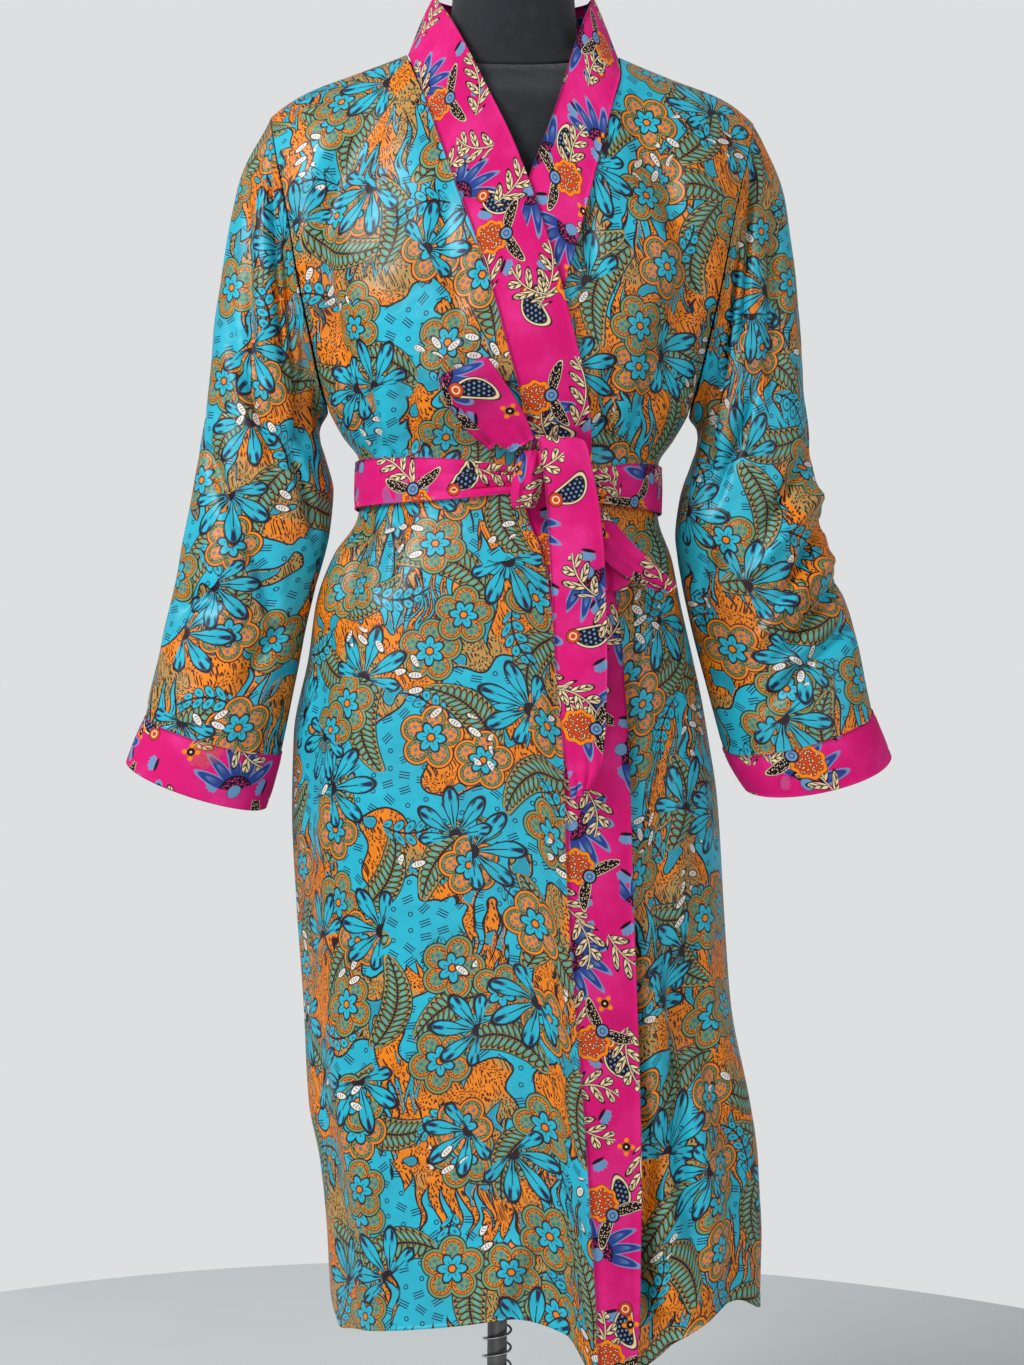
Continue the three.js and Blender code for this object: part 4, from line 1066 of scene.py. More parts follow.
@dataclass(frozen=True)
class SatinPrint:
    """Soft satin with a turquoise and orange print of flowers and ferns."""

    roughness: float = 0.4
    sheen: float = 0.04
    line: float = 0.00112

    def material(self) -> bpy.types.Material:
        """Build the node material."""
        g = Graph("printed_satin")
        u, v = g.cloth()
        paint = Painter(g, Ink.TURQUOISE.value)
        self._ground(g, paint, u, v)
        self._fern(g, paint, scatter(g, u, v, 0.118, 0.136, 0.016, 2.37), 0.048, 0.0125, 165.0, 7.5, True)
        self._fern(g, paint, scatter(g, u, v, 0.136, 0.118, 0.02, 5.81), 0.043, 0.0115, 175.0, 9.0, True)
        self._fern(g, paint, scatter(g, u, v, 0.112, 0.121, 0.02, 9.17), 0.028, 0.0105, 95.0, 12.0, False)
        self._rosette(g, paint, scatter(g, u, v, 0.1, 0.096, 0.016, 1.13), 0.03)
        self._rosette(g, paint, scatter(g, u, v, 0.127, 0.118, 0.026, 8.61), 0.028)
        self._fan(g, paint, scatter(g, u, v, 0.129, 0.141, 0.02, 4.29), 0.042)
        self._fan(g, paint, scatter(g, u, v, 0.161, 0.171, 0.036, 7.93), 0.038)
        self._leaves(g, paint, u, v)
        wash = g.span(g.noise(u, v, 26.0, 3.0, 9.9), 0.3, 0.7, 0.04, 0.2)
        paint.lay(wash, tint(52, 40, 34))
        thread = (u * 2600.0).sine() * 0.4 + (v * 2300.0).sine() * 0.25
        slub = g.noise(u * 0.35, v, 900.0, 2.0, 1.5)
        rumple = g.noise(u, v, 30.0, 2.5, 4.4)
        fine = g.bump(thread * 0.5 + slub, 0.00006, 0.35)
        relief = g.node(
            "ShaderNodeBump", None, {"Height": rumple, "Distance": 0.004, "Strength": 0.8, "Normal": fine}
        ).outputs[0]
        smoother, rougher = self.roughness - 0.06, self.roughness + 0.08
        rough = g.span(g.noise(u, v, 60.0, 2.0, 2.2), 0.2, 0.8, smoother, rougher)
        return g.finish(
            Base_Color=paint.colour,
            Roughness=rough,
            Normal=relief,
            Sheen_Weight=self.sheen,
            Sheen_Roughness=0.4,
            Specular_IOR_Level=0.34,
            Anisotropic=0.25,
        )

    def _ground(self, g: Graph, paint: Painter, u: Value, v: Value) -> None:
        """Interlocking areas with what is drawn on each."""
        bars = scatter(g, u, v, 0.0165, 0.0145, 0.002, 3.91, 1.6)
        bar = g.inside((bars.y * 400.0).part() - 0.42, 0.12)
        bar = bar * g.inside(bars.x.size() - 0.0052) * g.inside(bars.y.size() - 0.0037)
        paint.lay(bar * g.inside(0.4 - bars.chance, 0.01), Ink.NAVY)
        ring = g.line(bars.radius() - 0.0019, 0.0005) * g.inside(bars.chance - 0.4, 0.01)
        paint.lay(ring, Ink.NAVY)
        edge = self._area(g, u, v, 14.0, 0.6, 0.482, 0.05)
        orange = g.inside(-edge)
        paint.lay(orange, Ink.ORANGE)
        drift_ = g.noise(u, v, 55.0, 0.0, 8.8) * 0.03
        dots, _ = g.cells(u * 1.7 + drift_, v * 0.8 - drift_, 255.0)
        moss = g.span(g.noise(u, v, 13.0, 1.0, 2.9), 0.53, 0.6) * orange
        speck, _ = g.cells(u, v, 640.0, 0.3)
        paint.lay(g.inside(speck - 0.46, 0.08) * moss, Ink.SAGE)
        paint.lay(g.inside(dots - 0.3, 0.07) * orange, Ink.BROWN)
        island = self._area(g, u, v, 30.0, 5.3, 0.6, 0.024)
        inner = g.inside(-island) * g.inside(0.002 - edge)
        paint.lay(inner, Ink.TURQUOISE)
        vein = g.inside(((u + v) * 420.0).part() - 0.3, 0.1) * g.inside(0.0016 - island)
        paint.lay(vein * inner, Ink.NAVY)
        paint.lay(g.line(island, self.line * 0.6) * g.inside(0.002 - edge), Ink.PLUM)
        paint.lay(g.line(edge, self.line * 0.8), Ink.PLUM)

    def _area(
        self, g: Graph, u: Value, v: Value, scale: float, seed: float, level: float, blades: float
    ) -> Value:
        """Rough distance inside the edge of wandering areas, in metres.

        Args:
            g: The material's nodes.
            u: Place across the cloth.
            v: Place along the cloth.
            scale: Areas to the metre.
            seed: Number that makes these areas differ from others.
            level: Share of the cloth outside the areas, roughly.
            blades: Height of the pointed blades along the edges.

        Returns:
            A distance that is above zero inside.
        """
        step = 0.0007
        sway = g.noise(u, v, 30.0, 0.0, seed + 3.0) * 0.03
        calm = g.span(g.noise(u, v, 9.0, 0.0, seed + 5.0), 0.4, 0.6) * (2.0 * blades)

        def field(x: Value, y: Value) -> Value:
            """The noise whose level line is the edge."""
            blade = (((x + sway) * 64.0).part() - 0.5).size() * calm
            return g.noise(x, y + blade, scale, 1.0, seed)

        here = field(u, v)
        side = (field(u + step, v) - here) / step
        rise = (field(u, v + step) - here) / step
        return (here - level) / (side * side + rise * rise).root().most(1.5)

    def _fern(
        self,
        g: Graph,
        paint: Painter,
        m: Motif,
        half: float,
        wide: float,
        pitch: float,
        bend: float,
        halo: bool,
    ) -> None:
        """Curved stems with slanted oval leaflets.

        Args:
            g: The material's nodes.
            paint: The print.
            m: Place in the motif.
            half: Half length of the stem.
            wide: Length of the longest leaflets across the stem.
            pitch: Leaflets to the metre.
            bend: How strongly the stem curves.
            halo: Whether the fern stands in an orange area of its own.
        """
        y = m.y - m.x * m.x * bend + 0.3 * bend * half * half
        t = m.x / half
        length = ((1.0 - t * t).most(0.0).root() * (1.0 - t * 0.25)).most(0.02) * wide
        room = g.inside(t.size() - 1.0, 0.02)
        if halo:
            rim = y.size() - length - 0.0032
            grain, _ = g.cells(m.x, m.y, 520.0, 0.2)
            paint.shape(rim, Ink.SAGE, Ink.PLUM, self.line, room)
            paint.lay(g.inside(rim + 0.0012) * g.inside(grain - 0.5, 0.1) * room, Ink.ORANGE)
        slant = m.x - y.size() * 0.55
        leaf_x = ((slant * pitch).part() - 0.5) / pitch
        leaf_y = y.size() - length * 0.55
        leaf = ellipse(leaf_y, leaf_x, length * 0.48, 0.37 / pitch)
        paint.shape(leaf, Ink.SAGE if halo else Ink.TURQUOISE, Ink.PLUM, self.line * 0.9, room)
        paint.lay(g.inside(leaf + 0.23 / pitch, 0.0003) * room, Ink.TURQUOISE if halo else Ink.TEAL)
        paint.lay(g.line(y, 0.0009) * room, Ink.PLUM)

    def _rosette(self, g: Graph, paint: Painter, m: Motif, size: float) -> None:
        """Six-petalled flowers inside a surround of five round lobes."""
        shown = g.inside(0.1 - m.chance, 0.01)
        along_, across = m.petal(5.0)
        lobe_x = along_ - size * 0.58
        lobe = (lobe_x * lobe_x + across * across).root() - size * 0.42
        green = g.inside(0.5 - m.spare, 0.02)
        rim = g.mix(green, Ink.ORANGE.value, Ink.SAGE.value)
        core = g.mix(green, Ink.SAGE.value, Ink.ORANGE.value)
        grain, _ = g.cells(m.x, m.y, 640.0, 0.7)
        paint.shape(lobe, rim, Ink.PLUM, self.line * 1.1, shown)
        paint.lay(g.line(lobe + size * 0.09, self.line * 0.45) * shown, Ink.BROWN)
        paint.lay(g.inside(lobe + size * 0.1) * shown, core)
        paint.lay(g.inside(lobe + size * 0.12) * g.inside(grain - 0.4, 0.1) * shown, Ink.BROWN)
        paint.lay(g.inside(lobe + size * 0.2) * shown, rim)
        fine = g.inside(((across * 900.0).sine() * (along_ * 700.0).cosine()) + 0.1, 0.3)
        paint.lay(g.inside(lobe + size * 0.22) * fine * shown * 0.8, Ink.TEAL)
        petal_x, petal_y = m.petal(6.0, m.spare * 6.28)
        petal = ellipse(petal_x - size * 0.27, petal_y, size * 0.175, size * 0.12)
        paint.shape(petal, Ink.TURQUOISE, Ink.PLUM, self.line * 1.2, shown)
        paint.lay(g.line(petal_y, 0.0003) * g.inside(m.radius() - size * 0.27) * shown, Ink.PLUM)
        paint.shape(m.radius() - size * 0.1, Ink.ORANGE, Ink.PLUM, self.line * 1.2, shown)

    def _fan(self, g: Graph, paint: Painter, m: Motif, size: float) -> None:
        """Fan-shaped flowers with dark hearts and streaked tips."""
        local = Motif(m.x + size * 0.55, m.y, m.chance, m.spare)
        wedge = g.inside(local.angle().size() - 1.75, 0.02) * g.inside(0.06 - m.chance, 0.01)
        along_, across = local.petal(8.0)
        fall = local.angle().size()
        reach = (1.1 - fall * fall * 0.13) * size
        swell = g.span(along_ / reach, 0.1, 0.95, 0.35, 1.15)
        tongue = ellipse(along_ - reach * 0.58, across / swell, reach * 0.46, size * 0.17)
        paint.shape(tongue, Ink.TURQUOISE, Ink.PLUM, self.line * 1.3, wedge)
        rays = ((local.angle() * 30.0).cosine() + 0.15 * (along_ * 600.0).sine()) * 0.5
        streak = g.inside(0.05 - rays, 0.22)
        tips = g.span(along_ / reach, 0.7, 0.86)
        paint.lay(streak * tips * g.inside(tongue) * wedge, Ink.NAVY)
        roots = g.span(along_ / reach, 0.5, 0.34)
        paint.lay(streak * roots * g.inside(tongue) * wedge, Ink.PLUM)
        spine = g.line(across, 0.0005) * g.inside(along_ - reach * 0.72)
        paint.lay(spine * wedge * g.inside(tongue), Ink.PLUM)
        paint.lay(g.inside(local.radius() - size * 0.16) * wedge, Ink.PLUM)

    def _leaves(self, g: Graph, paint: Painter, u: Value, v: Value) -> None:
        """Loose groups of small pale leaves."""
        m = scatter(g, u, v, 0.0175, 0.0145, 0.0028, 6.43, 2.4)
        group = g.span(g.noise(u, v, 17.0, 0.0, 7.7), 0.69, 0.7)
        leaf = ellipse(m.x, m.y, 0.0064, 0.0027)
        shown = group * g.inside(0.3 - m.chance, 0.01)
        paint.shape(leaf, Ink.WHITE, Ink.BROWN, self.line * 0.9, shown)
        scratch = g.inside(((m.x - m.y.size() * 0.6) * 2300.0).sine() + 0.45, 0.4)
        paint.lay(scratch * g.inside(leaf + 0.0007) * shown * 0.85, Ink.BROWN)


@dataclass(frozen=True)
class VelvetPrint:
    """Magenta velvet with a print of twigs, small flowers and spotted fruits."""

    roughness: float = 0.75

    def material(self) -> bpy.types.Material:
        """Build the node material."""
        g = Graph("printed_velvet")
        u, v = g.cloth()
        # Painted sheen: lighter rose patches over the magenta stand in for the velvet's mottled sheen.
        painted_sheen_mottle = g.noise(u, v, 20.0, 3.0, 1.2)
        ground = g.mix(g.span(painted_sheen_mottle, 0.4, 0.75), Ink.MAGENTA.value, Ink.ROSE.value)
        ground = g.mix(g.span(g.noise(u, v, 11.0, 2.0, 6.1), 0.55, 0.8, 0.0, 0.6), ground, Ink.WINE.value)
        paint = Painter(g, ground)
        self._scraps(g, paint, scatter(g, u, v, 0.041, 0.047, 0.008, 8.23, 2.0))
        self._flame(g, paint, scatter(g, u, v, 0.059, 0.127, 0.008, 2.71, 2.6), 0.034)
        self._patch(g, paint, scatter(g, u, v, 0.063, 0.117, 0.01, 7.39, 3.0))
        self._twig(g, paint, scatter(g, u, v, 0.053, 0.103, 0.008, 5.17, 3.6), 0.03, 9.0)
        self._twig(g, paint, scatter(g, u, v, 0.071, 0.127, 0.012, 9.43, 5.0), 0.022, -13.0)
        self._fruit(g, paint, scatter(g, u, v, 0.067, 0.151, 0.008, 4.61, 2.0))
        self._blossom(g, paint, scatter(g, u, v, 0.049, 0.073, 0.011, 3.59))
        fuzz = g.noise(u, v, 1500.0, 2.0, 0.4)
        soft = g.noise(u, v, 120.0, 2.0, 2.9)
        fine = g.bump(fuzz, 0.00022, 0.6)
        relief = g.node(
            "ShaderNodeBump", None, {"Height": soft, "Distance": 0.0009, "Strength": 0.5, "Normal": fine}
        ).outputs[0]
        return g.finish(
            Base_Color=paint.colour,
            Roughness=self.roughness,
            Normal=relief,
            Sheen_Weight=0.35,
            Sheen_Roughness=0.35,
            Sheen_Tint=tint(255, 120, 180),
            Specular_IOR_Level=0.15,
        )

    def _scraps(self, g: Graph, paint: Painter, m: Motif) -> None:
        """Jagged grey-blue scraps with a dark side."""
        shown = g.inside(0.45 - m.chance, 0.01)
        jag = ((m.x * 260.0).part() - 0.5).size() * 0.0034
        scrap = ellipse(m.x, m.y + jag, 0.0075, 0.0042)
        paint.lay(g.inside(scrap) * shown, Ink.SLATE)
        paint.lay(g.inside(ellipse(m.x, m.y - 0.0042, 0.0066, 0.0016)) * shown, Ink.BLACK)

    def _patch(self, g: Graph, paint: Painter, m: Motif) -> None:
        """Dark rounded patches with rows of pale dots."""
        shown = g.inside(0.4 - m.chance, 0.01)
        patch = ellipse(m.x, m.y - m.x * m.x * 16.0, 0.0195, 0.0098)
        paint.shape(patch, Ink.CREAM, Ink.BLACK, 0.0008, shown)
        paint.lay(g.inside(patch + 0.0014) * shown, Ink.BLACK)
        dot_x, dot_y = (m.x * 235.0).part() - 0.5, (m.y * 235.0 + (m.x * 235.0).floor() * 0.5).part() - 0.5
        dot = (dot_x * dot_x + dot_y * dot_y).root() - 0.27
        paint.lay(g.inside(dot, 0.08) * g.inside(patch + 0.0024) * shown, Ink.SLATE)
        eye = ellipse(m.x + 0.017, m.y - 0.004, 0.006, 0.006)
        paint.shape(eye, Ink.RUST, Ink.BLACK, 0.0007, shown)
        paint.lay(g.line(eye + 0.003, 0.0006) * shown, Ink.CREAM)

    def _fruit(self, g: Graph, paint: Painter, m: Motif) -> None:
        """Spotted rust fruits with a dark leaf at either side."""
        shown = g.inside(0.25 - m.chance, 0.01)
        x, y = m.x, m.y
        leaf = ellipse(x - 0.013 - y * y * 14.0, y.size() - 0.016, 0.0058, 0.0135)
        paint.shape(leaf, Ink.CREAM, Ink.BLACK, 0.0006, shown)
        spots, _ = g.cells(x, y, 420.0, 0.4)
        paint.lay(g.inside(leaf + 0.0012) * shown, Ink.BLACK)
        paint.lay(g.inside(leaf + 0.002) * g.inside(spots - 0.2, 0.06) * shown, Ink.CREAM)
        wave = (m.angle() * 9.0).cosine() * 0.001
        fruit = ellipse(x + 0.004, y, 0.0165, 0.0155) + wave
        paint.shape(fruit, Ink.ORANGE, Ink.BLACK, 0.0005, shown)
        paint.lay(g.inside(fruit + 0.0028) * shown, Ink.RUST)
        seeds, _ = g.cells(x, y, 300.0, 1.9)
        paint.lay(g.inside(fruit + 0.003) * g.inside(seeds - 0.36, 0.06) * shown, Ink.BROWN)
        paint.lay(g.inside(fruit + 0.003) * g.inside(seeds - 0.2, 0.05) * shown, Ink.CREAM)
        eye = ellipse(x - 0.011, y, 0.0052, 0.0052)
        paint.shape(eye, Ink.SLATE, Ink.BLACK, 0.0016, shown)
        paint.lay(g.line(eye + 0.0028, 0.0004) * shown, Ink.NAVY)

    def _flame(self, g: Graph, paint: Painter, m: Motif, size: float) -> None:
        """Blue feathers that fan out like a flame."""
        local = Motif(m.x + size * 0.5, m.y + (m.x + size * 0.5) * m.x * 9.0, m.chance, m.spare)
        shown = g.inside(0.3 - m.chance, 0.01) * g.inside(local.angle().size() - 1.3, 0.03)
        along_, across = local.petal(12.0)
        tongue = ellipse(along_ - size * 0.62, across, size * 0.52, size * 0.13)
        paint.shape(tongue, Ink.COBALT, Ink.SLATE, 0.0009, shown)
        paint.lay(g.inside(tongue + size * 0.06) * g.span(along_, size * 0.5, size * 1.1) * shown, Ink.SLATE)
        heart = local.radius() - size * 0.42
        paint.shape(heart, Ink.BLACK, Ink.NAVY, 0.0008, shown)
        spots, _ = g.cells(m.x, m.y, 460.0, 0.9)
        paint.lay(g.inside(heart + 0.001) * g.inside(spots - 0.26, 0.06) * shown, Ink.ROSE)
        whole = g.inside(0.3 - m.chance, 0.01)
        paint.shape(local.radius() - size * 0.17, Ink.SLATE, Ink.BLACK, 0.0006, whole)

    def _twig(self, g: Graph, paint: Painter, m: Motif, half: float, bend: float) -> None:
        """Bent twigs with cream leaves drawn in black."""
        shown = g.inside(0.2 - m.chance, 0.01)
        y = m.y - m.x * m.x * bend + 0.3 * bend * half * half
        t = m.x / half
        room = g.inside(t.size() - 1.0, 0.02) * shown
        length = ((1.0 - t * t).most(0.0).root() * 0.0135).most(0.0004)
        side = (y / 0.0001).most(-1.0).least(1.0)
        slant = m.x - y.size() * 0.85 + side * 0.0028
        pitch = 68.0
        leaf_x = ((slant * pitch).part() - 0.5) / pitch
        leaf = ellipse(y.size() - length * 0.56, leaf_x, length * 0.5, 0.0043)
        paint.shape(leaf, Ink.CREAM, Ink.BLACK, 0.0011, room)
        barb = ((y.size() - leaf_x.size() * 1.2) * 1150.0).sine()
        paint.lay(g.inside(leaf + 0.0004) * g.inside(barb - -0.35, 0.2) * room * 0.9, Ink.BLACK)
        paint.lay(g.line(leaf_x, 0.0005) * g.inside(leaf) * room, Ink.BLACK)
        paint.lay(g.line(y, 0.0011) * room, Ink.BLACK)
        paint.lay(g.line(y, 0.0005) * room, Ink.CREAM)

    def _blossom(self, g: Graph, paint: Painter, m: Motif) -> None:
        """Small orange flowers with dark centres."""
        r = m.radius()
        petal = r - 0.0083 * (0.72 + 0.28 * (m.angle() * 4.0).cosine())
        shown = g.inside(0.45 - m.chance, 0.01)
        paint.lay(g.inside(petal, 0.0008) * shown, Ink.ORANGE)
        rays = g.inside((m.angle() * 8.0).cosine() + 0.75, 0.15)
        paint.lay(rays * g.inside(petal + 0.001) * shown, Ink.BLACK)
        paint.lay(g.inside(r - 0.0038) * shown, Ink.BLACK)
        paint.lay(g.inside(r - 0.0011) * shown, Ink.CREAM)


@dataclass(frozen=True)
class Jersey:
    """Fine black jersey stretched over the form."""

    def material(self) -> bpy.types.Material:
        """Build the node material."""
        g = Graph("form_cloth")
        u, v = g.cloth()
        rib = (u * 3300.0).sine()
        loop = ((v * 2600.0).sine() + rib) * 0.5
        dust = g.noise(u, v, 70.0, 4.0, 1.9)
        colour = g.mix(g.span(dust, 0.35, 0.75), tint(17, 20, 25), tint(33, 37, 43))
        return g.finish(
            Base_Color=colour,
            Roughness=g.span(dust, 0.3, 0.7, 0.7, 0.85),
            Normal=g.bump(loop + dust, 0.0002, 0.5),
            Sheen_Weight=0.25,
            Sheen_Roughness=0.5,
            Specular_IOR_Level=0.3,
        )


@dataclass(frozen=True)
class Metal:
    """A metal or painted finish of the stand."""

    name: str
    base: tuple[int, int, int]
    worn: tuple[int, int, int]
    metallic: float
    roughness: float
    grain: float

    def material(self) -> bpy.types.Material:
        """Build the node material."""
        g = Graph(self.name)
        u, v = g.cloth()
        streak = g.noise(u, v * self.grain, 300.0, 3.0, 1.1)
        spots = g.noise(u, v, 45.0, 4.0, 4.2)
        colour = g.mix(g.span(spots, 0.45, 0.75), tint(*self.base), tint(*self.worn))
        rough = g.span(streak, 0.3, 0.7, self.roughness - 0.07, self.roughness + 0.1)
        return g.finish(
            Base_Color=colour,
            Metallic=self.metallic,
            Roughness=rough,
            Normal=g.bump(streak, 0.00008, 0.4),
        )


def dress(
    piece: bpy.types.Object, material: bpy.types.Material, nodes: tuple[str, ...]
) -> bpy.types.Object:
    """Give a piece its finish, its body and the solids that it stands for.

    Args:
        piece: The new object.
        material: Its material.
        nodes: The solids that it replaces.

    Returns:
        The piece.
    """
    piece.data.materials.append(material)
    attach(piece, "root")
    if nodes:
        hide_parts(*nodes)
    return piece


@dataclass
class RobeBody:
    """The two fronts and the back of the robe, with their velvet bands."""

    satin: bpy.types.Material
    velvet: bpy.types.Material
    yoke_rows: int = 64
    low_rows: int = 170
    front_columns: int = 96
    back_columns: int = 150

    RIGHT_CREASES = (
        Crease(-196, 1240, -120, 1085, 16, 3.5),
        Crease(-150, 1345, -176, 1180, 14, 4.0),
        Crease(-120, 1380, -150, 1230, 17, 2.5),
        Crease(-60, 1300, -30, 1120, 12, 2.0),
        Crease(-140, 1110, -110, 1035, 9, 3.5),
        Crease(-95, 1120, -80, 1035, 9, 3.0),
        Crease(-45, 1100, -40, 1035, 8, 2.5),
        Crease(-120, 1075, -95, 1034, 6, -2.0),
        Crease(-10, 1090, -12, 1035, 8, 2.2),
        Crease(-125, 992, -150, 880, 11, 3.5),
        Crease(-95, 992, -110, 900, 9, 2.6),
        Crease(-55, 992, -60, 890, 9, 2.2),
        Crease(-15, 992, -8, 880, 9, 2.4),
        Crease(10, 990, 34, 860, 9, 3.0),
        Crease(-140, 411, 46, 403, 4.5, 2.0),
        Crease(-140, 404, 46, 395, 5, -1.6),
        Crease(60, 330, 30, 235, 12, 6.0),
        Crease(85, 345, 72, 200, 12, 7.0),
        Crease(30, 330, 0, 245, 14, -3.5),
        Crease(-150, 720, -120, 420, 26, 2.5),
        Crease(-60, 860, -30, 430, 30, 2.0),
        Crease(20, 780, 45, 480, 16, 2.4),
        Crease(-166, 900, -140, 300, 14, 3.0),
        Crease(-100, 700, -88, 255, 20, 2.6),
        Crease(-30, 640, -5, 250, 18, 2.2),
        Crease(-74, 940, -88, 700, 12, 2.2),
        Crease(-125, 640, -105, 260, 16, -2.6),
        Crease(-176, 1200, -150, 1090, 9, 2.6),
    )
    LEFT_CREASES = (
        Crease(196, 1240, 130, 1090, 16, 3.5),
        Crease(150, 1345, 180, 1190, 14, 4.0),
        Crease(120, 1390, 150, 1250, 16, 2.5),
        Crease(70, 1300, 95, 1140, 14, 2.4),
        Crease(140, 1110, 118, 1035, 9, 3.5),
        Crease(100, 1130, 90, 1035, 9, 3.0),
        Crease(60, 1120, 70, 1035, 9, 2.4),
        Crease(130, 992, 150, 880, 11, 3.5),
        Crease(110, 992, 128, 860, 9, 3.4),
        Crease(150, 800, 196, 420, 14, 5.0),
        Crease(135, 700, 150, 330, 11, 5.0),
        Crease(172, 560, 205, 240, 12, 6.0),
        Crease(150, 420, 140, 200, 12, 5.5),
        Crease(190, 640, 222, 420, 10, -3.0),
        Crease(120, 330, 170, 210, 12, 4.0),
        Crease(176, 1210, 156, 1090, 9, 2.6),
        Crease(120, 920, 138, 640, 10, 3.0),
    )
    BACK_CREASES = (
        Crease(-180, 1330, -120, 1120, 20, 4.0),
        Crease(175, 1330, 118, 1110, 20, 4.0),
        Crease(-60, 1400, -40, 1200, 22, 2.4),
        Crease(50, 1390, 66, 1180, 22, 2.4),
        Crease(-110, 1110, -95, 1035, 10, 3.6),
        Crease(-62, 1130, -55, 1035, 10, 3.2),
        Crease(-15, 1120, -12, 1035, 9, 3.0),
        Crease(36, 1125, 34, 1035, 9, 3.2),
        Crease(88, 1120, 80, 1035, 10, 3.6),
        Crease(-100, 992, -120, 860, 10, 3.4),
        Crease(-50, 992, -58, 850, 10, 3.0),
        Crease(0, 992, 2, 840, 10, 3.2),
        Crease(55, 992, 62, 860, 10, 3.0),
        Crease(102, 992, 122, 850, 10, 3.4),
        Crease(-90, 700, -110, 300, 22, 3.0),
        Crease(70, 720, 90, 280, 22, 3.0),
        Crease(-142, 900, -150, 260, 16, 3.4),
        Crease(-30, 900, -36, 260, 20, 3.0),
        Crease(26, 760, 20, 250, 20, -2.4),
        Crease(132, 880, 150, 260, 16, 3.4),
        Crease(-128, 1250, -100, 1060, 12, 2.6),
        Crease(124, 1240, 96, 1060, 12, 2.6),
    )

    def build(self) -> list[bpy.types.Object]:
        """Make all body panels and bands."""
        right = self._front(Side.LEFT, RIGHT_BAND, right_lift)
        left = self._front(Side.RIGHT, LEFT_BAND, no_lift)
        back = self._back()
        made = [
            self._panel("robe_front_right_cloth", right, Side.LEFT, self.RIGHT_CREASES, "robe_front_right"),
            self._panel("robe_front_left_cloth", left, Side.RIGHT, self.LEFT_CREASES, "robe_front_left"),
            self._back_panel(back),
            self._band("band_front_right_cloth", right, RIGHT_BAND, Side.LEFT, band_lift, "band_front_right"),
            self._band("band_front_left_cloth", left, LEFT_BAND, Side.RIGHT, no_lift, "band_front_left"),
            self._neck(back),
        ]
        return made

    def _front(self, side: Side, band: BandTable, lift) -> Array:
        """Inner face of one front: columns from its side seam to its band.

        Args:
            side: Which side of the photo.
            band: The band that it is sewn to.
            lift: Its lift above the base surface.

        Returns:
            Rows and columns of points in millimetres.
        """
        s = side.value
        a = np.linspace(0, 1, self.front_columns)[None, :]
        row = np.linspace(0, 1, self.yoke_rows)[:-1, None]
        arm_x, _ = armhole_at(row)
        seam = np.full(row.shape, s * NECK_HALF)
        for _ in range(10):
            seam = band.seam(yoke_z(seam, 0.0, row))
        edge = seam + s * SEAM
        straight = s * arm_x + (edge - s * arm_x) * a
        start = (0.0 if s < 0 else 0.5) - s * 0.0006
        low_seam = band.seam(np.array(UNDERARM_Z)) + s * SEAM
        end = turn_at(low_seam, np.array(UNDERARM_Z))
        turned = section(start + (end - start) * a, np.array(UNDERARM_Z), 0.0)[..., 0]
        share = row**4
        even = (turned - turned[:, :1]) / (turned[:, -1:] - turned[:, :1])
        x = straight + (edge - s * arm_x) * share * (even - a)
        z = yoke_z(x, 0.0, row)
        yoke = np.stack([x, -depth(x, z, Face.FRONT) - lift(x, z), z], axis=-1)
        t = np.linspace(0, 1, self.low_rows)[:, None]
        hem = np.full((1, self.front_columns), 230.0)
        for _ in range(6):
            last = turn_at(band.seam(hem) + s * SEAM, hem)
            hem = HEM_FRONT_AT(section(start + (last - start) * a, hem, 0.0)[..., 0])
        z = UNDERARM_Z - (UNDERARM_Z - hem) * t
        last = turn_at(band.seam(z) + s * SEAM, z)
        turn = start + (last - start) * a
        flat = section(turn, z, 0.0)
        low = section(turn, z, lift(flat[..., 0], z))
        return np.concatenate([yoke, low])

    def _back(self) -> Array:
        """Inner face of the back: columns from the left of the photo to the right."""
        a = np.linspace(0, 1, self.back_columns)[None, :]
        row = np.linspace(0, 1, self.yoke_rows)[:-1, None]
        arm_x, _ = armhole_at(row)
        level = section(1 - 0.5 * a, np.array(UNDERARM_Z), 0.0)[..., 0]
        shoulders = 0.25
        inner = -NECK_HALF * np.cos(math.pi * (a - shoulders) / (1 - 2 * shoulders))
        left = -arm_x + (arm_x - NECK_HALF) * a / shoulders
        right = arm_x - (arm_x - NECK_HALF) * (1 - a) / shoulders
        x = np.where(a < shoulders, left, np.where(a > 1 - shoulders, right, inner))
        x = x * (1 - row) + level * row * arm_x / level[:, -1:]
        start = np.sqrt(start_below(x) / (shoulder_z(x) - UNDERARM_Z))
        z = yoke_z(x, start, row)
        yoke = np.stack([x, depth(x, z, Face.BACK), z], axis=-1)
        yoke[0, :, 1] = np.maximum(yoke[0, :, 1], SEAM / 2)
        t = np.linspace(0, 1, self.low_rows)[:, None]
        turn = 1 - (0.0006 + (0.5 - 0.0012) * a)
        hem = np.full((1, self.back_columns), 230.0)
        for _ in range(6):
            hem = HEM_BACK_AT(section(turn, hem, 0.0)[..., 0])
        z = UNDERARM_Z - (UNDERARM_Z - hem) * t
        return np.concatenate([yoke, section(turn, z, 0.0)])

    def _cloth_map(self, grid: Array, edge_last: bool, offset: float) -> Array:
        """Place of each point in the flat cloth."""
        across = lengths(grid, 1)
        if edge_last:
            rest = across[:, -1:] - across
            across = grid[:, -1:, 0] - rest if offset < 0 else grid[:, -1:, 0] + rest
        down = lengths(grid, 0)
        return np.stack([across + 1000 * offset, -down.mean(axis=1, keepdims=True) + 0 * across], axis=-1)

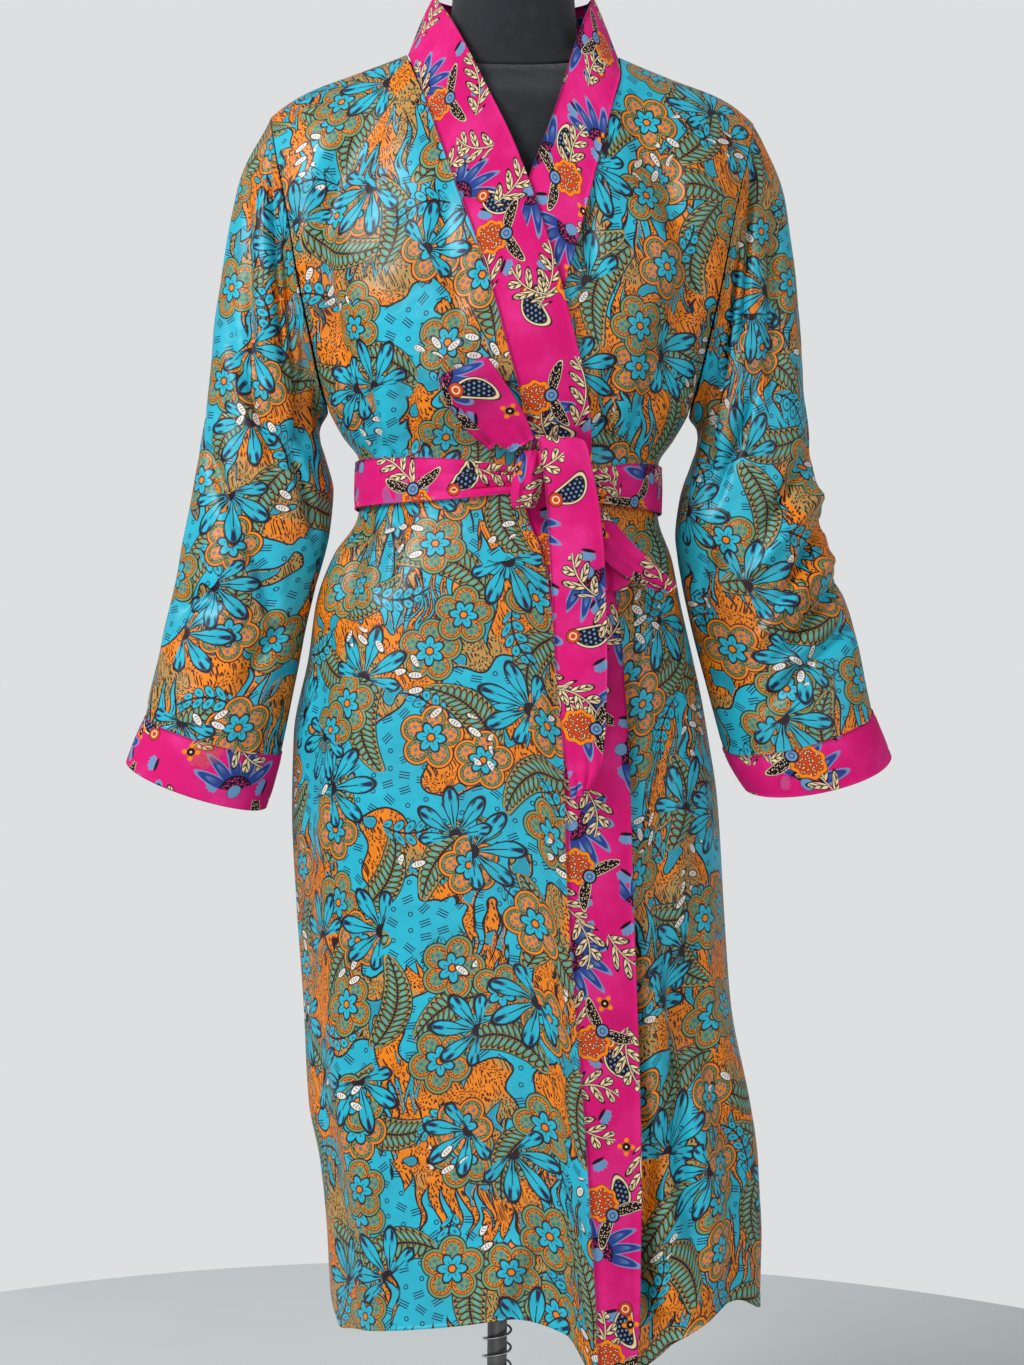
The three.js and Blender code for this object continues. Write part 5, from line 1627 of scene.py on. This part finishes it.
    def _panel(
        self, name: str, grid: Array, side: Side, creases: tuple[Crease, ...], node: str
    ) -> bpy.types.Object:
        """A front panel with its creases."""
        cloth = self._cloth_map(grid, True, -1.0 if side is Side.LEFT else 1.0)
        x, z = grid[..., 0], grid[..., 2]
        normal = normals_of(grid, False, side is Side.RIGHT)
        push = FOLD_DEPTH * crease_sum(creases, x, z)
        swell = SWELL * drift(x, z, 1.3 if side is Side.LEFT else 4.1, 1.0) * smooth(1440, 1360, z) - push
        swell = swell - hem_groove(grid)
        over = smooth(-30, 10, (x - LEFT_BAND.free(z)) if side is Side.LEFT else (RIGHT_BAND.free(z) - x))
        low, high = (-0.5, 60.0) if side is Side.LEFT else (-60.0, 0.5)
        swell = swell * (1 - over) + np.clip(swell, low, high) * over
        grid = grid + normal * (swell * smooth(0, 34, lengths(grid, 1)))[..., None]
        tuck = smooth(UNDERARM_Z, UNDERARM_Z - 30, grid[:, 0, 2])
        grid[:, 0] += tuck[:, None] * np.array([-side.value * 0.8, SIDE_LAP, 0.0])
        piece = ClothMesh(name, grid, SATIN * 0.6, cloth, flip=side is Side.RIGHT).build()
        dress(piece, self.satin, (node,))
        area = ClothArea.of(grid)
        return piece

    def _back_panel(self, grid: Array) -> bpy.types.Object:
        """The back panel with its creases."""
        cloth = self._cloth_map(grid, False, 3.0)
        x, z = grid[..., 0], grid[..., 2]
        normal = normals_of(grid, False, True)
        push = FOLD_DEPTH * crease_sum(self.BACK_CREASES, x, z)
        swell = drift(x, z, 2.6, 1.2) * smooth(1430, 1360, z)
        across = lengths(grid, 1)
        fade = smooth(0, 34, across) * smooth(0, 34, across[:, -1:] - across)
        grid = grid + normal * ((SWELL * swell - push - hem_groove(grid)) * fade)[..., None]
        piece = ClothMesh("robe_back_cloth", grid, SATIN * 0.6, cloth, flip=True).build()
        dress(piece, self.satin, ("robe_back",))
        area = ClothArea.of(grid)
        return piece

    def _band(
        self, name: str, panel: Array, band: BandTable, side: Side, lift, node: str
    ) -> bpy.types.Object:
        """A front band along the edge of its panel."""
        s = side.value
        edge = panel[:, -1]
        place, free = band.row_at(edge[:, 2])
        turn_up = SEAM * 2 + BAND_TURN * smooth(1355, 1430, edge[:, 2])
        seam = edge.copy()
        seam[:, 0] -= s * turn_up
        columns = 17
        a = np.linspace(0, 1, columns)[None, :]
        x = seam[:, :1] + (free[:, :1] - seam[:, :1]) * a
        z = seam[:, 2:] + (free[:, 1:2] - seam[:, 2:]) * a
        point = front_point(x, z, lift(x, z))
        straight_y = seam[:, 1:2] + (-free[:, 2:] - lift(x, z) - seam[:, 1:2]) * a
        standing = (1 - smooth(band.standing - 1.6, band.standing - 0.2, place))[:, None]
        straight = np.stack([x, straight_y + 0 * x, z], axis=-1)
        grid = point * (1 - standing[..., None]) + straight * standing[..., None]
        grid[:, 0] = seam
        across = lengths(grid, 1)
        down = lengths(grid, 0)
        cloth = np.stack([across + 90 * s, -down.mean(axis=1, keepdims=True) + 0 * across], axis=-1)
        width = across[:, -1:]
        swell = 0.9 * np.sin(math.pi * across / width) + 0.5 * drift(across * 2, down, 5.0 + s, 0.8)
        if side is Side.RIGHT:
            swell = swell * smooth(1150, 1300, grid[..., 2])
        stitch = np.exp(-(((across - 6) / 1.2) ** 2)) + np.exp(-(((width - across - 6) / 1.2) ** 2))
        normal = normals_of(grid, False, side is Side.RIGHT)
        edge_fade = smooth(0, 5, across)
        grid = grid + normal * ((swell * edge_fade) - 1.1 * stitch)[..., None]
        piece = ClothMesh(name, grid, VELVET * 0.8, cloth, flip=side is Side.RIGHT).build()
        dress(piece, self.velvet, (node,))
        area = ClothArea.of(grid)
        return piece

    def _neck(self, back: Array) -> bpy.types.Object:
        """The band that stands behind the neck."""
        top = back[0]
        edge = top[np.abs(top[:, 0]) <= NECK_HALF + 0.01]
        share = np.linspace(0, 1, len(edge))
        free = along(BAND_NECK)(share)
        seam = edge.copy()
        across_share = edge[:, 0] / NECK_HALF
        seam[:, 0] *= 1 - BAND_TURN / NECK_HALF
        seam[:, 1] = np.maximum(seam[:, 1] - 1.4, SEAM)
        seam[:, 2] += 0.9 + 0.7 * across_share**2
        free[:, 1] = np.maximum(free[:, 1], SEAM)
        a = np.linspace(0, 1, 17)[None, :, None]
        grid = seam[:, None] + (free - seam)[:, None] * a
        across = lengths(grid, 1)
        down = lengths(grid, 0)
        cloth = np.stack([across + 400, down.mean(axis=1, keepdims=True) + 0 * across], axis=-1)
        width = across[:, -1:]
        normal = normals_of(grid, False, False)
        swell = 0.9 * np.sin(math.pi * across / width)
        stitch = np.exp(-(((across - 4) / 1.1) ** 2)) + np.exp(-(((width - across - 4) / 1.1) ** 2))
        grid = grid + normal * (swell - 0.5 * stitch)[..., None]
        piece = ClothMesh("band_neck_cloth", grid, VELVET * 0.8, cloth).build()
        dress(piece, self.velvet, ("band_neck",))
        area = ClothArea.of(grid)
        return piece


class ClothArea:
    """Areas of sheets, worked out from their points."""

    @staticmethod
    def of(grid: Array, closed: bool = False) -> float:
        """Area of a grid of points in square metres."""
        if closed:
            grid = np.concatenate([grid, grid[:, :1]], axis=1)
        a, b = grid[1:, :-1] - grid[:-1, :-1], grid[:-1, 1:] - grid[:-1, :-1]
        c, d = grid[1:, :-1] - grid[1:, 1:], grid[:-1, 1:] - grid[1:, 1:]
        total = np.linalg.norm(np.cross(a, b), axis=-1) + np.linalg.norm(np.cross(c, d), axis=-1)
        return float(total.sum()) / 2 * MM * MM


@dataclass
class Sleeves:
    """The two set-in sleeves and their velvet cuffs."""

    satin: bpy.types.Material
    velvet: bpy.types.Material
    around: int = 120
    rows: int = 190

    # Wrinkles: side, first turn and place along, second turn and place, width and depth in millimetres
    WRINKLES = (
        (-1, 0.16, 0.02, 0.3, 0.3, 12, 3.5),
        (-1, 0.26, 0.05, 0.36, 0.34, 11, 3.5),
        (-1, 0.38, 0.1, 0.3, 0.46, 10, 4.5),
        (-1, 0.1, 0.15, 0.2, 0.5, 14, 2.6),
        (-1, 0.12, 0.42, 0.3, 0.56, 9, 2.8),
        (-1, 0.3, 0.45, 0.42, 0.62, 10, 3.5),
        (-1, 0.05, 0.6, 0.24, 0.7, 9, 2.6),
        (-1, 0.2, 0.66, 0.36, 0.82, 10, 3.0),
        (-1, 0.08, 0.86, 0.24, 0.8, 8, 2.2),
        (-1, 0.3, 0.94, 0.4, 0.78, 9, 2.6),
        (-1, 0.62, 0.1, 0.7, 0.5, 14, 4.0),
        (-1, 0.8, 0.2, 0.74, 0.6, 14, 3.5),
        (-1, 0.66, 0.5, 0.86, 0.66, 11, 3.5),
        (-1, 0.9, 0.6, 0.7, 0.82, 11, 3.0),
        (1, 0.15, 0.02, 0.28, 0.28, 12, 3.5),
        (1, 0.25, 0.05, 0.37, 0.32, 11, 4.0),
        (1, 0.38, 0.1, 0.32, 0.5, 10, 4.5),
        (1, 0.1, 0.16, 0.16, 0.52, 13, 3.0),
        (1, 0.2, 0.4, 0.34, 0.56, 10, 3.2),
        (1, -0.02, 0.6, 0.26, 0.66, 6.5, 4.2),
        (1, -0.02, 0.66, 0.3, 0.72, 6.5, -3.4),
        (1, -0.04, 0.7, 0.24, 0.78, 6, 4.6),
        (1, -0.02, 0.76, 0.32, 0.83, 6, -3.4),
        (1, -0.04, 0.8, 0.3, 0.88, 6, 4.4),
        (1, 0.0, 0.87, 0.34, 0.94, 6, 3.4),
        (1, 0.3, 0.62, 0.44, 0.76, 9, 3.4),
        (1, 0.62, 0.1, 0.7, 0.5, 14, 4.0),
        (1, 0.8, 0.2, 0.74, 0.6, 14, 3.5),
        (1, 0.64, 0.62, 0.92, 0.7, 8, 4.0),
        (1, 0.66, 0.76, 0.94, 0.82, 8, 3.6),
    )

    def build(self) -> list[bpy.types.Object]:
        """Make both sleeves and both cuffs."""
        return [
            self._sleeve("sleeve_right_cloth", Side.LEFT, SLEEVE_RIGHT, "sleeve_right"),
            self._sleeve("sleeve_left_cloth", Side.RIGHT, SLEEVE_LEFT, "sleeve_left"),
            self._cuff("cuff_right_cloth", Side.LEFT, CUFF_RIGHT, "cuff_right"),
            self._cuff("cuff_left_cloth", Side.RIGHT, CUFF_LEFT, "cuff_left"),
        ]

    def _ring(self, row: Array, turn: Array, side: Side, place: Array | None) -> Array:
        """Points of a sleeve section."""
        out_x, out_z, in_x, in_z, forward, deep, drop = (row[..., k : k + 1] for k in range(7))
        c, s = np.cos(2 * math.pi * turn), np.sin(2 * math.pi * turn)
        scale = np.ones(np.broadcast(out_x, turn).shape)
        if place is not None:
            for fold_side, at, where, wide, long, size in SLEEVE_FOLDS:
                if fold_side != side.value:
                    continue
                away = turn - at
                away = away - np.round(away)
                bell = np.exp(-((away / wide) ** 2) - ((place - where) / long) ** 2)
                scale = scale - size * bell / deep
        x = (out_x + in_x) / 2 + (out_x - in_x) / 2 * c * scale
        y = -forward - deep * s * scale
        z = (out_z + in_z) / 2 + (out_z - in_z) / 2 * c * scale - drop * s
        return np.stack(np.broadcast_arrays(x, y, z), axis=-1)

    def _armhole(self, turn: Array, side: Side) -> Array:
        """The sleeve's first ring, on the armhole seam."""
        s = side.value
        front = turn <= 0.5
        row = np.where(front, 2 * turn, 2 * (1 - turn))
        x, z = armhole_at(row)
        x = np.where(row >= 0.999, (RIGHT_AT(np.array(UNDERARM_Z)) - LEFT_AT(np.array(UNDERARM_Z))) / 2, x)
        sign = np.where(front, -1.0, 1.0)
        deep = np.where(front, depth(s * x, z, Face.FRONT), depth(s * x, z, Face.BACK))
        inner = np.where(front, depth(s * (x - 2), z, Face.FRONT), depth(s * (x - 2), z, Face.BACK))
        deep = np.where(row >= 0.999, 0.0, deep)
        across = np.stack([s * 2 + 0 * x, sign * (deep - inner), 0 * x], axis=-1)
        across /= np.linalg.norm(across, axis=-1, keepdims=True)
        normal = np.stack([-across[:, 1] * s * sign, across[:, 0] * s * sign, 0 * x], axis=-1)
        under = smooth(0.93, 1.0, row)[:, None]
        normal = normal * (1 - under) + np.array([s, 0.0, 0.0]) * under
        across = across * (1 - under) + np.array([s, 0.0, 0.0]) * under
        ridge = smooth(0.08, 0.0, row)[:, None]
        across = across * (1 - ridge) + np.array([s * 0.87, 0.0, -0.5]) * ridge
        normal /= np.linalg.norm(normal, axis=-1, keepdims=True)
        lap = smooth(0.35, 0.9, row)[:, None]
        here = np.stack([s * x, sign * deep, z], axis=-1)
        gap = SEAM + 1.2 * smooth(0.1, 0.4, row)[:, None] * (1 - lap)
        return here + across * gap + normal * lap * (2 * SATIN + SEAM)

    def _sleeve(self, name: str, side: Side, table: tuple, node: str) -> bpy.types.Object:
        """A sleeve with its wrinkles."""
        turn = np.arange(self.around) / self.around
        rows = np.asarray(table, float)
        keys = np.concatenate([[-1.6], np.arange(len(rows))])
        rings = [self._armhole(turn, side)]
        for k, row in enumerate(rows):
            place = np.full((1, self.around), 0.12 + 0.88 * k / (len(rows) - 1))
            rings.append(self._ring(row[None, :], turn[None, :], side, place)[0])
        stack = Curve(keys, np.stack(rings))
        grid = stack(np.linspace(keys[0], keys[-1], self.rows))
        around = lengths(np.concatenate([grid, grid[:, :1]], axis=1), 1)
        down = lengths(grid, 0)
        axis = grid[-1].mean(axis=0) - grid[0].mean(axis=0)
        axis /= np.linalg.norm(axis)
        flat = grid - (grid @ axis)[..., None] * axis
        girth = lengths(np.concatenate([flat, flat[:, :1]], axis=1), 1)
        fall = (grid[0] @ axis)[None, :] + down
        fall = np.concatenate([fall, fall[:, :1]], axis=1)
        middle = girth[:, self.around // 4][:, None]
        cloth = np.stack([girth - middle + 5000 + 700 * side.value, -fall], axis=-1)
        place = np.linspace(0, 1, self.rows)[:, None]
        push = FOLD_DEPTH * self._wrinkles(side, turn[None, :], place, around[:, :-1], down)
        swell = drift(around[:, :-1] * 1.3, down, 7.0 + side.value, 0.8)
        ends = smooth(0.0, 0.05, place)
        hem = smooth(1.0, 0.97, place)
        normal = normals_of(grid, True, side is Side.RIGHT)
        pucker = np.sin(turn[None, :] * 2 * math.pi * 17 + 1.3 * np.sin(turn[None, :] * 19))
        gather = pucker * (1 - hem * 0.75)
        near = smooth(0.86, 1.0, place)
        amount = (SWELL * swell - push) * ends * (0.35 + 0.65 * hem) + 0.7 * gather * near * hem
        inner = np.cos(2 * math.pi * (turn - 0.5))[None, :]
        amount = np.where(inner > 0.6, np.minimum(amount, 0.4), amount)
        grid = grid + normal * amount[..., None]
        piece = ClothMesh(name, grid, SATIN * 0.6, cloth, closed=True, flip=side is Side.RIGHT).build()
        dress(piece, self.satin, (node,))
        area = ClothArea.of(grid, True)
        return piece

    def _wrinkles(self, side: Side, turn: Array, place: Array, around: Array, down: Array) -> Array:
        """Inward push of the listed wrinkles."""
        total = np.zeros(around.shape)
        girth, tall = float(around[:, -1].mean()), float(down[-1].mean())
        for wrinkle_side, t0, p0, t1, p1, width, deep in self.WRINKLES:
            if wrinkle_side != side.value:
                continue
            dx, dz = (t1 - t0) * girth, (p1 - p0) * tall
            size = math.hypot(dx, dz)
            off = turn - t0
            off = off - np.round(off - (t1 - t0) / 2)
            x, z = off * girth, (place - p0) * tall
            t = (x * dx + z * dz) / size**2
            bow = 0.08 * size * np.sin(math.pi * np.clip(t, 0, 1))
            away = (x * dz - z * dx) / size - bow
            ends = smooth(-0.05, 0.3, t) * smooth(1.05, 0.65, t)
            total += deep * ends * np.exp(-((away / width) ** 2))
        return total

    def _cuff(self, name: str, side: Side, table: tuple, node: str) -> bpy.types.Object:
        """A velvet cuff, quilted a little by its two rows of stitches."""
        turn = np.arange(self.around) / self.around
        share = np.linspace(0, 1, 22)
        rows = along(table)(share)
        grid = self._ring(rows, turn[None, :], side, None)
        around = lengths(np.concatenate([grid, grid[:, :1]], axis=1), 1)
        down = lengths(grid, 0)
        cloth = np.stack([-down.mean(axis=1, keepdims=True) + 0 * around, around + 900 * side.value], axis=-1)
        tall = down[-1].mean()
        normal = normals_of(grid, True, side is Side.RIGHT)
        swell = 0.8 * np.sin(math.pi * down / tall) + 0.7 * drift(around[:, :-1] * 1.2, down * 2, 3.3, 0.6)
        stitch = np.exp(-(((down - 4) / 1.1) ** 2)) + np.exp(-(((tall - down - 4) / 1.1) ** 2))
        grid = grid + normal * (swell - 0.5 * stitch)[..., None]
        piece = ClothMesh(name, grid, VELVET * 0.8, cloth, closed=True, flip=side is Side.RIGHT).build()
        dress(piece, self.velvet, (node,))
        area = min(ClothArea.of(grid, True), 0.0215)
        return piece


@dataclass
class Belt:
    """The velvet belt: round the waist, its knot, half bow and hanging ends."""

    velvet: bpy.types.Material

    def build(self) -> list[bpy.types.Object]:
        """Make every stretch of the belt."""
        made = [self._waist()]
        made.append(self._strip("belt_loop_upper_cloth", LOOP_UPPER, 60, True, "belt_loop_upper", 11.0))
        made.append(self._strip("belt_loop_lower_cloth", LOOP_LOWER, 24, False, "belt_loop_lower", 12.0))
        made.append(self._strip("belt_tail_front_cloth", TAIL_FRONT, 90, False, "belt_tail_front", 13.0))
        made.append(self._strip("belt_tail_side_cloth", TAIL_SIDE, 40, False, "belt_tail_side", 14.0))
        made.append(self._knot())
        return made

    def _waist(self) -> bpy.types.Object:
        """The belt's stretch round the waist, gathered towards the knot."""
        rows = along(BELT_WAIST)(np.linspace(0, 1, 240))
        a = np.linspace(-1, 1, 21)[None, :]
        turn, height, half, out = (rows[:, k : k + 1] for k in range(4))
        z = height + half * a
        middle = section(turn + 0 * a, height + 0 * a, out)
        edge = section(turn + 0 * a, z, out)
        grid = 0.7 * middle + 0.3 * edge
        grid[..., 2] = z
        narrow = smooth(22.5, 12, half)
        folds = narrow * (2.2 * np.cos(a * 7.0 + 0.012 * lengths(grid, 0)) + 1.1 * np.sin(a * 15.0 + 1.0))
        soft = 0.6 * drift(lengths(grid, 0), z * 2, 8.2, 0.7) + 0.8 * (1 - a * a)
        normal = normals_of(grid, False, True)
        stitch = np.exp(-(((1 - np.abs(a)) * half - 3.5) ** 2) / 1.4)
        grid = grid + normal * (folds + soft - 0.45 * stitch)[..., None]
        cloth = np.stack([lengths(grid, 1) + 2000, lengths(grid, 0)], axis=-1)
        piece = ClothMesh("belt_waist_cloth", grid, VELVET * 0.8, cloth, flip=True).build()
        dress(piece, self.velvet, ("belt_waist",))
        area = ClothArea.of(grid)
        return piece

    def _strip(
        self, name: str, table: tuple, rows: int, flip: bool, node: str, seed: float
    ) -> bpy.types.Object:
        """A stretch of the tied belt."""
        row = along(table)(np.linspace(0, 1, rows))
        if table is LOOP_UPPER:
            row[:, 3] *= 0.88
        a = np.linspace(-1, 1, 19)[None, :]
        x, y, z, hx, hz = (row[:, k : k + 1] for k in range(5))
        grid = np.stack([x + hx * a, y - 2.5 * (1 - a * a) + 0 * x, z + hz * a], axis=-1)
        normal = normals_of(grid, False, flip)
        down = lengths(grid, 0)
        half = np.hypot(hx, hz)
        narrow = smooth(20, 12, half)
        waves = np.sin(down / 17.0 + a * 1.7 + seed) * smooth(0, 30, down)
        folds = narrow * 1.3 * np.cos(a * 8.0 + seed) + 1.1 * waves
        stitch = np.exp(-(((1 - np.abs(a)) * half - 3.5) ** 2) / 1.4)
        soft = 0.7 * drift(half * a * 2, down, seed, 0.5)
        grid = grid + normal * (folds + soft - 0.4 * stitch)[..., None]
        fall = -down.mean(axis=1, keepdims=True) + 0 * half * a
        cloth = np.stack([lengths(grid, 1) + 250 * seed, fall], axis=-1)
        piece = ClothMesh(name, grid, VELVET * 0.8, cloth, flip=flip).build()
        dress(piece, self.velvet, (node,))
        area = ClothArea.of(grid)
        return piece

    def _knot(self) -> bpy.types.Object:
        """The knot: the belt wrapped once over itself."""
        levels, columns = 48, 64
        v = np.linspace(-1, 1, levels)[:, None]
        angle = (2 * math.pi * np.arange(columns) / columns)[None, :]
        size = 0.55 + 0.45 * np.sqrt(1 - (0.96 * v) ** 2)
        c, s = np.cos(angle), np.sin(angle)
        folds = 1.5 * np.sin(c * 8.0 + v * 2.2) + 0.8 * np.sin(c * 15.0 - v * 3.0)
        x = 19 + 4 * v + (15 * size - 0.4) * np.sign(c) * np.abs(c) ** 0.8
        y = -129.3 - (12 * size + folds * (s > 0)) * np.sign(s) * np.abs(s) ** 0.8
        z = 1012 + 26 * v + 0 * angle
        piece = loft("belt_knot_cloth", np.stack(np.broadcast_arrays(x, y, z), axis=-1))
        dress(piece, self.velvet, ("belt_knot",))
        return piece


@dataclass
class DressForm:
    """The black dress form and its stand."""

    jersey: bpy.types.Material
    steel: bpy.types.Material
    wire: bpy.types.Material
    paint: bpy.types.Material

    def build(self) -> list[bpy.types.Object]:
        """Make the torso, neck, pole, spring and base."""
        torso = loft("form_torso_jersey", self._rings(FORM, 90, True))
        neck = loft("form_neck_jersey", self._rings(NECK, 36, False))
        dress(torso, self.jersey, ("form_torso",))
        dress(neck, self.jersey, ("form_neck",))
        pole = loft("stand_pole_tube", self._tube(9.5, 96.3, 741.7, 64))
        dress(pole, self.steel, ("stand_pole",))
        base = loft("stand_base_disc", self._lathe())
        dress(base, self.paint, ("stand_base",))
        spring = loft("stand_spring_wire", self._spring())
        dress(spring, self.wire, ("stand_spring",))
        return [torso, neck, pole, base, spring]

    def _rings(self, table: tuple, rows: int, torso: bool) -> Array:
        """Rings of the form, kept inside the robe where the cloth rests on it."""
        data = np.asarray(table, float)
        row = Curve(data[:, 0], data)(np.linspace(data[0, 0], data[-1, 0], rows))
        angle = (2 * math.pi * np.arange(120) / 120)[None, :]
        c, s = np.cos(angle), np.sin(angle)
        level, half, front, back = (row[:, k : k + 1] for k in range(4))
        x = half * np.sign(c) * np.abs(c) ** (2 / POWER)
        y = np.where(s >= 0, front, back) * np.abs(s) ** (2 / POWER)
        sign = np.where(s >= 0, -1.0, 1.0)
        high = smooth(1378, 1427, level) if torso else 1 - smooth(1427, 1528, level)

        def tilted(deep: Array) -> Array:
            """Height of the ring, lower in front."""
            return level + high * NECK_TILT * np.clip(sign * deep, -60, 60) * np.abs(s) ** 0.5

        if torso:
            for _ in range(8):
                z = tilted(y)
                limit_front = depth(x, z, Face.FRONT) - FORM_BACK_ROOM
                limit_back = depth(x, z, Face.BACK) - FORM_BACK_ROOM
                share = np.clip(np.abs(x) / (NECK_HALF - NECK_ROOM), 0, 1)
                opening = (NECK_BACK - NECK_ROOM) * np.sqrt(1 - share * share)
                limit_back = np.where(z > shoulder_z(x) - start_below(x) - NECK_ROOM, opening, limit_back)
                limit = np.where(s >= 0, np.where(np.abs(x) < 62, 999.0, limit_front), limit_back)
                limit = np.where(level > UNDERARM_Z, limit, 999.0)
                y = np.minimum(y, np.maximum(limit, 0))
        return np.stack(np.broadcast_arrays(x, sign * y, tilted(y)), axis=-1)

    def _tube(self, radius: float, low: float, high: float, sides: int) -> Array:
        """Rings of a straight tube."""
        angle = (2 * math.pi * np.arange(sides) / sides)[None, :]
        z = np.linspace(low, high, 24)[:, None]
        return np.stack(np.broadcast_arrays(radius * np.cos(angle), radius * np.sin(angle), z), axis=-1)

    def _lathe(self) -> Array:
        """Rings of the base, rounded at its rim."""
        profile = np.asarray(BASE_PROFILE, float)
        rows = []
        for first, second in zip(profile[:-1], profile[1:]):
            rows += [first + (second - first) * t for t in (0.0, 0.34, 0.67)]
        rows.append(profile[-1])
        rows = np.asarray(rows)
        angle = (2 * math.pi * np.arange(128) / 128)[None, :]
        radius, z = rows[:, :1], rows[:, 1:]
        return np.stack(np.broadcast_arrays(radius * np.cos(angle), radius * np.sin(angle), z), axis=-1)

    def _spring(self) -> Array:
        """Rings along the coiled wire."""
        turns, steps, sides = 12, 32, 10
        t = np.linspace(0, 1, turns * steps + 1)[:, None]
        angle = 2 * math.pi * turns * t
        around = (2 * math.pi * np.arange(sides) / sides)[None, :]
        radius = 13.4 + 1.3 * np.cos(around)
        z = 96.3 + 1.3 + (300 - 96.3) * t + 1.3 * np.sin(around)
        return np.stack([radius * np.cos(angle), radius * np.sin(angle), z], axis=-1)


@dataclass
class Studio:
    """Floor, backdrop, lights and camera."""

    level: float = 0.826
    distance: float = 2.42
    roll: float = math.radians(0.7)
    floor_size: float = 1.15

    def build(self) -> None:
        """Make the stage."""
        self._floor()
        self._light("key", (-2.2, -1.9, 2.7), 1.4, 94.0)
        self._light("fill", (2.3, -2.3, 1.7), 2.2, 20.0)
        self._light("low", (-0.4, -2.8, 0.5), 2.0, 9.0)
        world = bpy.data.worlds.new("studio_air")
        world.use_nodes = True
        tree = world.node_tree
        air = tree.nodes["Background"]
        air.inputs[0].default_value = (0.94, 0.97, 1.0, 1.0)
        air.inputs[1].default_value = 0.4
        wall = tree.nodes.new("ShaderNodeBackground")
        wall.inputs[0].default_value = (0.955, 0.975, 0.98, 1.0)
        wall.inputs[1].default_value = 0.76
        seen = tree.nodes.new("ShaderNodeLightPath")
        both = tree.nodes.new("ShaderNodeMixShader")
        tree.links.new(seen.outputs["Is Camera Ray"], both.inputs[0])
        tree.links.new(air.outputs[0], both.inputs[1])
        tree.links.new(wall.outputs[0], both.inputs[2])
        tree.links.new(both.outputs[0], tree.nodes["World Output"].inputs[0])
        bpy.context.scene.world = world
        self._camera()
        bpy.context.scene.view_settings.view_transform = "Standard"

    def _floor(self) -> None:
        """A round pale floor."""
        mesh = bpy.data.meshes.new("studio_floor")
        turns = np.linspace(0, 2 * math.pi, 129)[:-1]
        points = [(self.floor_size * math.cos(t), self.floor_size * math.sin(t), 0.0) for t in turns]
        mesh.from_pydata(points, [], [tuple(range(len(points)))])
        floor = bpy.data.objects.new("studio_floor", mesh)
        bpy.context.collection.objects.link(floor)
        g = Graph("pale_floor")
        place = g.node("ShaderNodeTexCoord")
        parts = g.node("ShaderNodeSeparateXYZ", None, {0: place.outputs["Object"]})
        x, y = Value(g, parts.outputs[0]), Value(g, parts.outputs[1])
        colour = g.mix(g.noise(x, y, 3.0, 3.0, 0.5), tint(222, 228, 228), tint(234, 238, 238))
        floor.data.materials.append(g.finish(Base_Color=colour, Roughness=0.8))

    def _light(self, name: str, place: tuple[float, float, float], size: float, power: float) -> None:
        """A soft square light aimed at the robe's middle."""
        light = bpy.data.lights.new(name, "AREA")
        light.shape = "SQUARE"
        light.size = size
        light.energy = power
        lamp = bpy.data.objects.new(name, light)
        lamp.location = place
        lamp.rotation_euler = (Vector((0, 0, 0.85)) - Vector(place)).to_track_quat("-Z", "Y").to_euler()
        bpy.context.collection.objects.link(lamp)

    def _camera(self) -> None:
        """A level camera at the height of the robe's middle."""
        lens = bpy.data.cameras.new("photo_camera")
        lens.sensor_fit = "VERTICAL"
        lens.sensor_height = 24.0
        lens.lens = 12.0 / 0.273
        camera = bpy.data.objects.new("photo_camera", lens)
        camera.location = (0.0066, -self.distance, self.level)
        camera.rotation_euler = (math.radians(90), 0.0, 0.0)
        camera.rotation_euler.rotate_axis("Z", self.roll)
        bpy.context.collection.objects.link(camera)
        bpy.context.scene.camera = camera


def main() -> None:
    """Build the robe, its belt, the form and the studio."""
    satin = SatinPrint().material()
    velvet = VelvetPrint().material()
    jersey = Jersey().material()
    steel = Metal("grey_steel", (98, 98, 100), (122, 120, 118), 0.85, 0.42, 0.05).material()
    wire = Metal("bright_wire", (205, 205, 208), (176, 174, 172), 1.0, 0.2, 1.0).material()
    paint = Metal("black_paint", (20, 20, 22), (34, 33, 32), 0.0, 0.38, 1.0).material()
    form = DressForm(jersey, steel, wire, paint)
    for title, maker in (
        ("form and stand", form),
        ("body and bands", RobeBody(satin, velvet)),
        ("sleeves and cuffs", Sleeves(satin, velvet)),
        ("belt", Belt(velvet)),
    ):
        for piece in maker.build():
            LOG.info("%s: %s, %d faces", title, piece.name, len(piece.data.polygons))
    Studio().build()


if __name__ == "__main__":
    main()
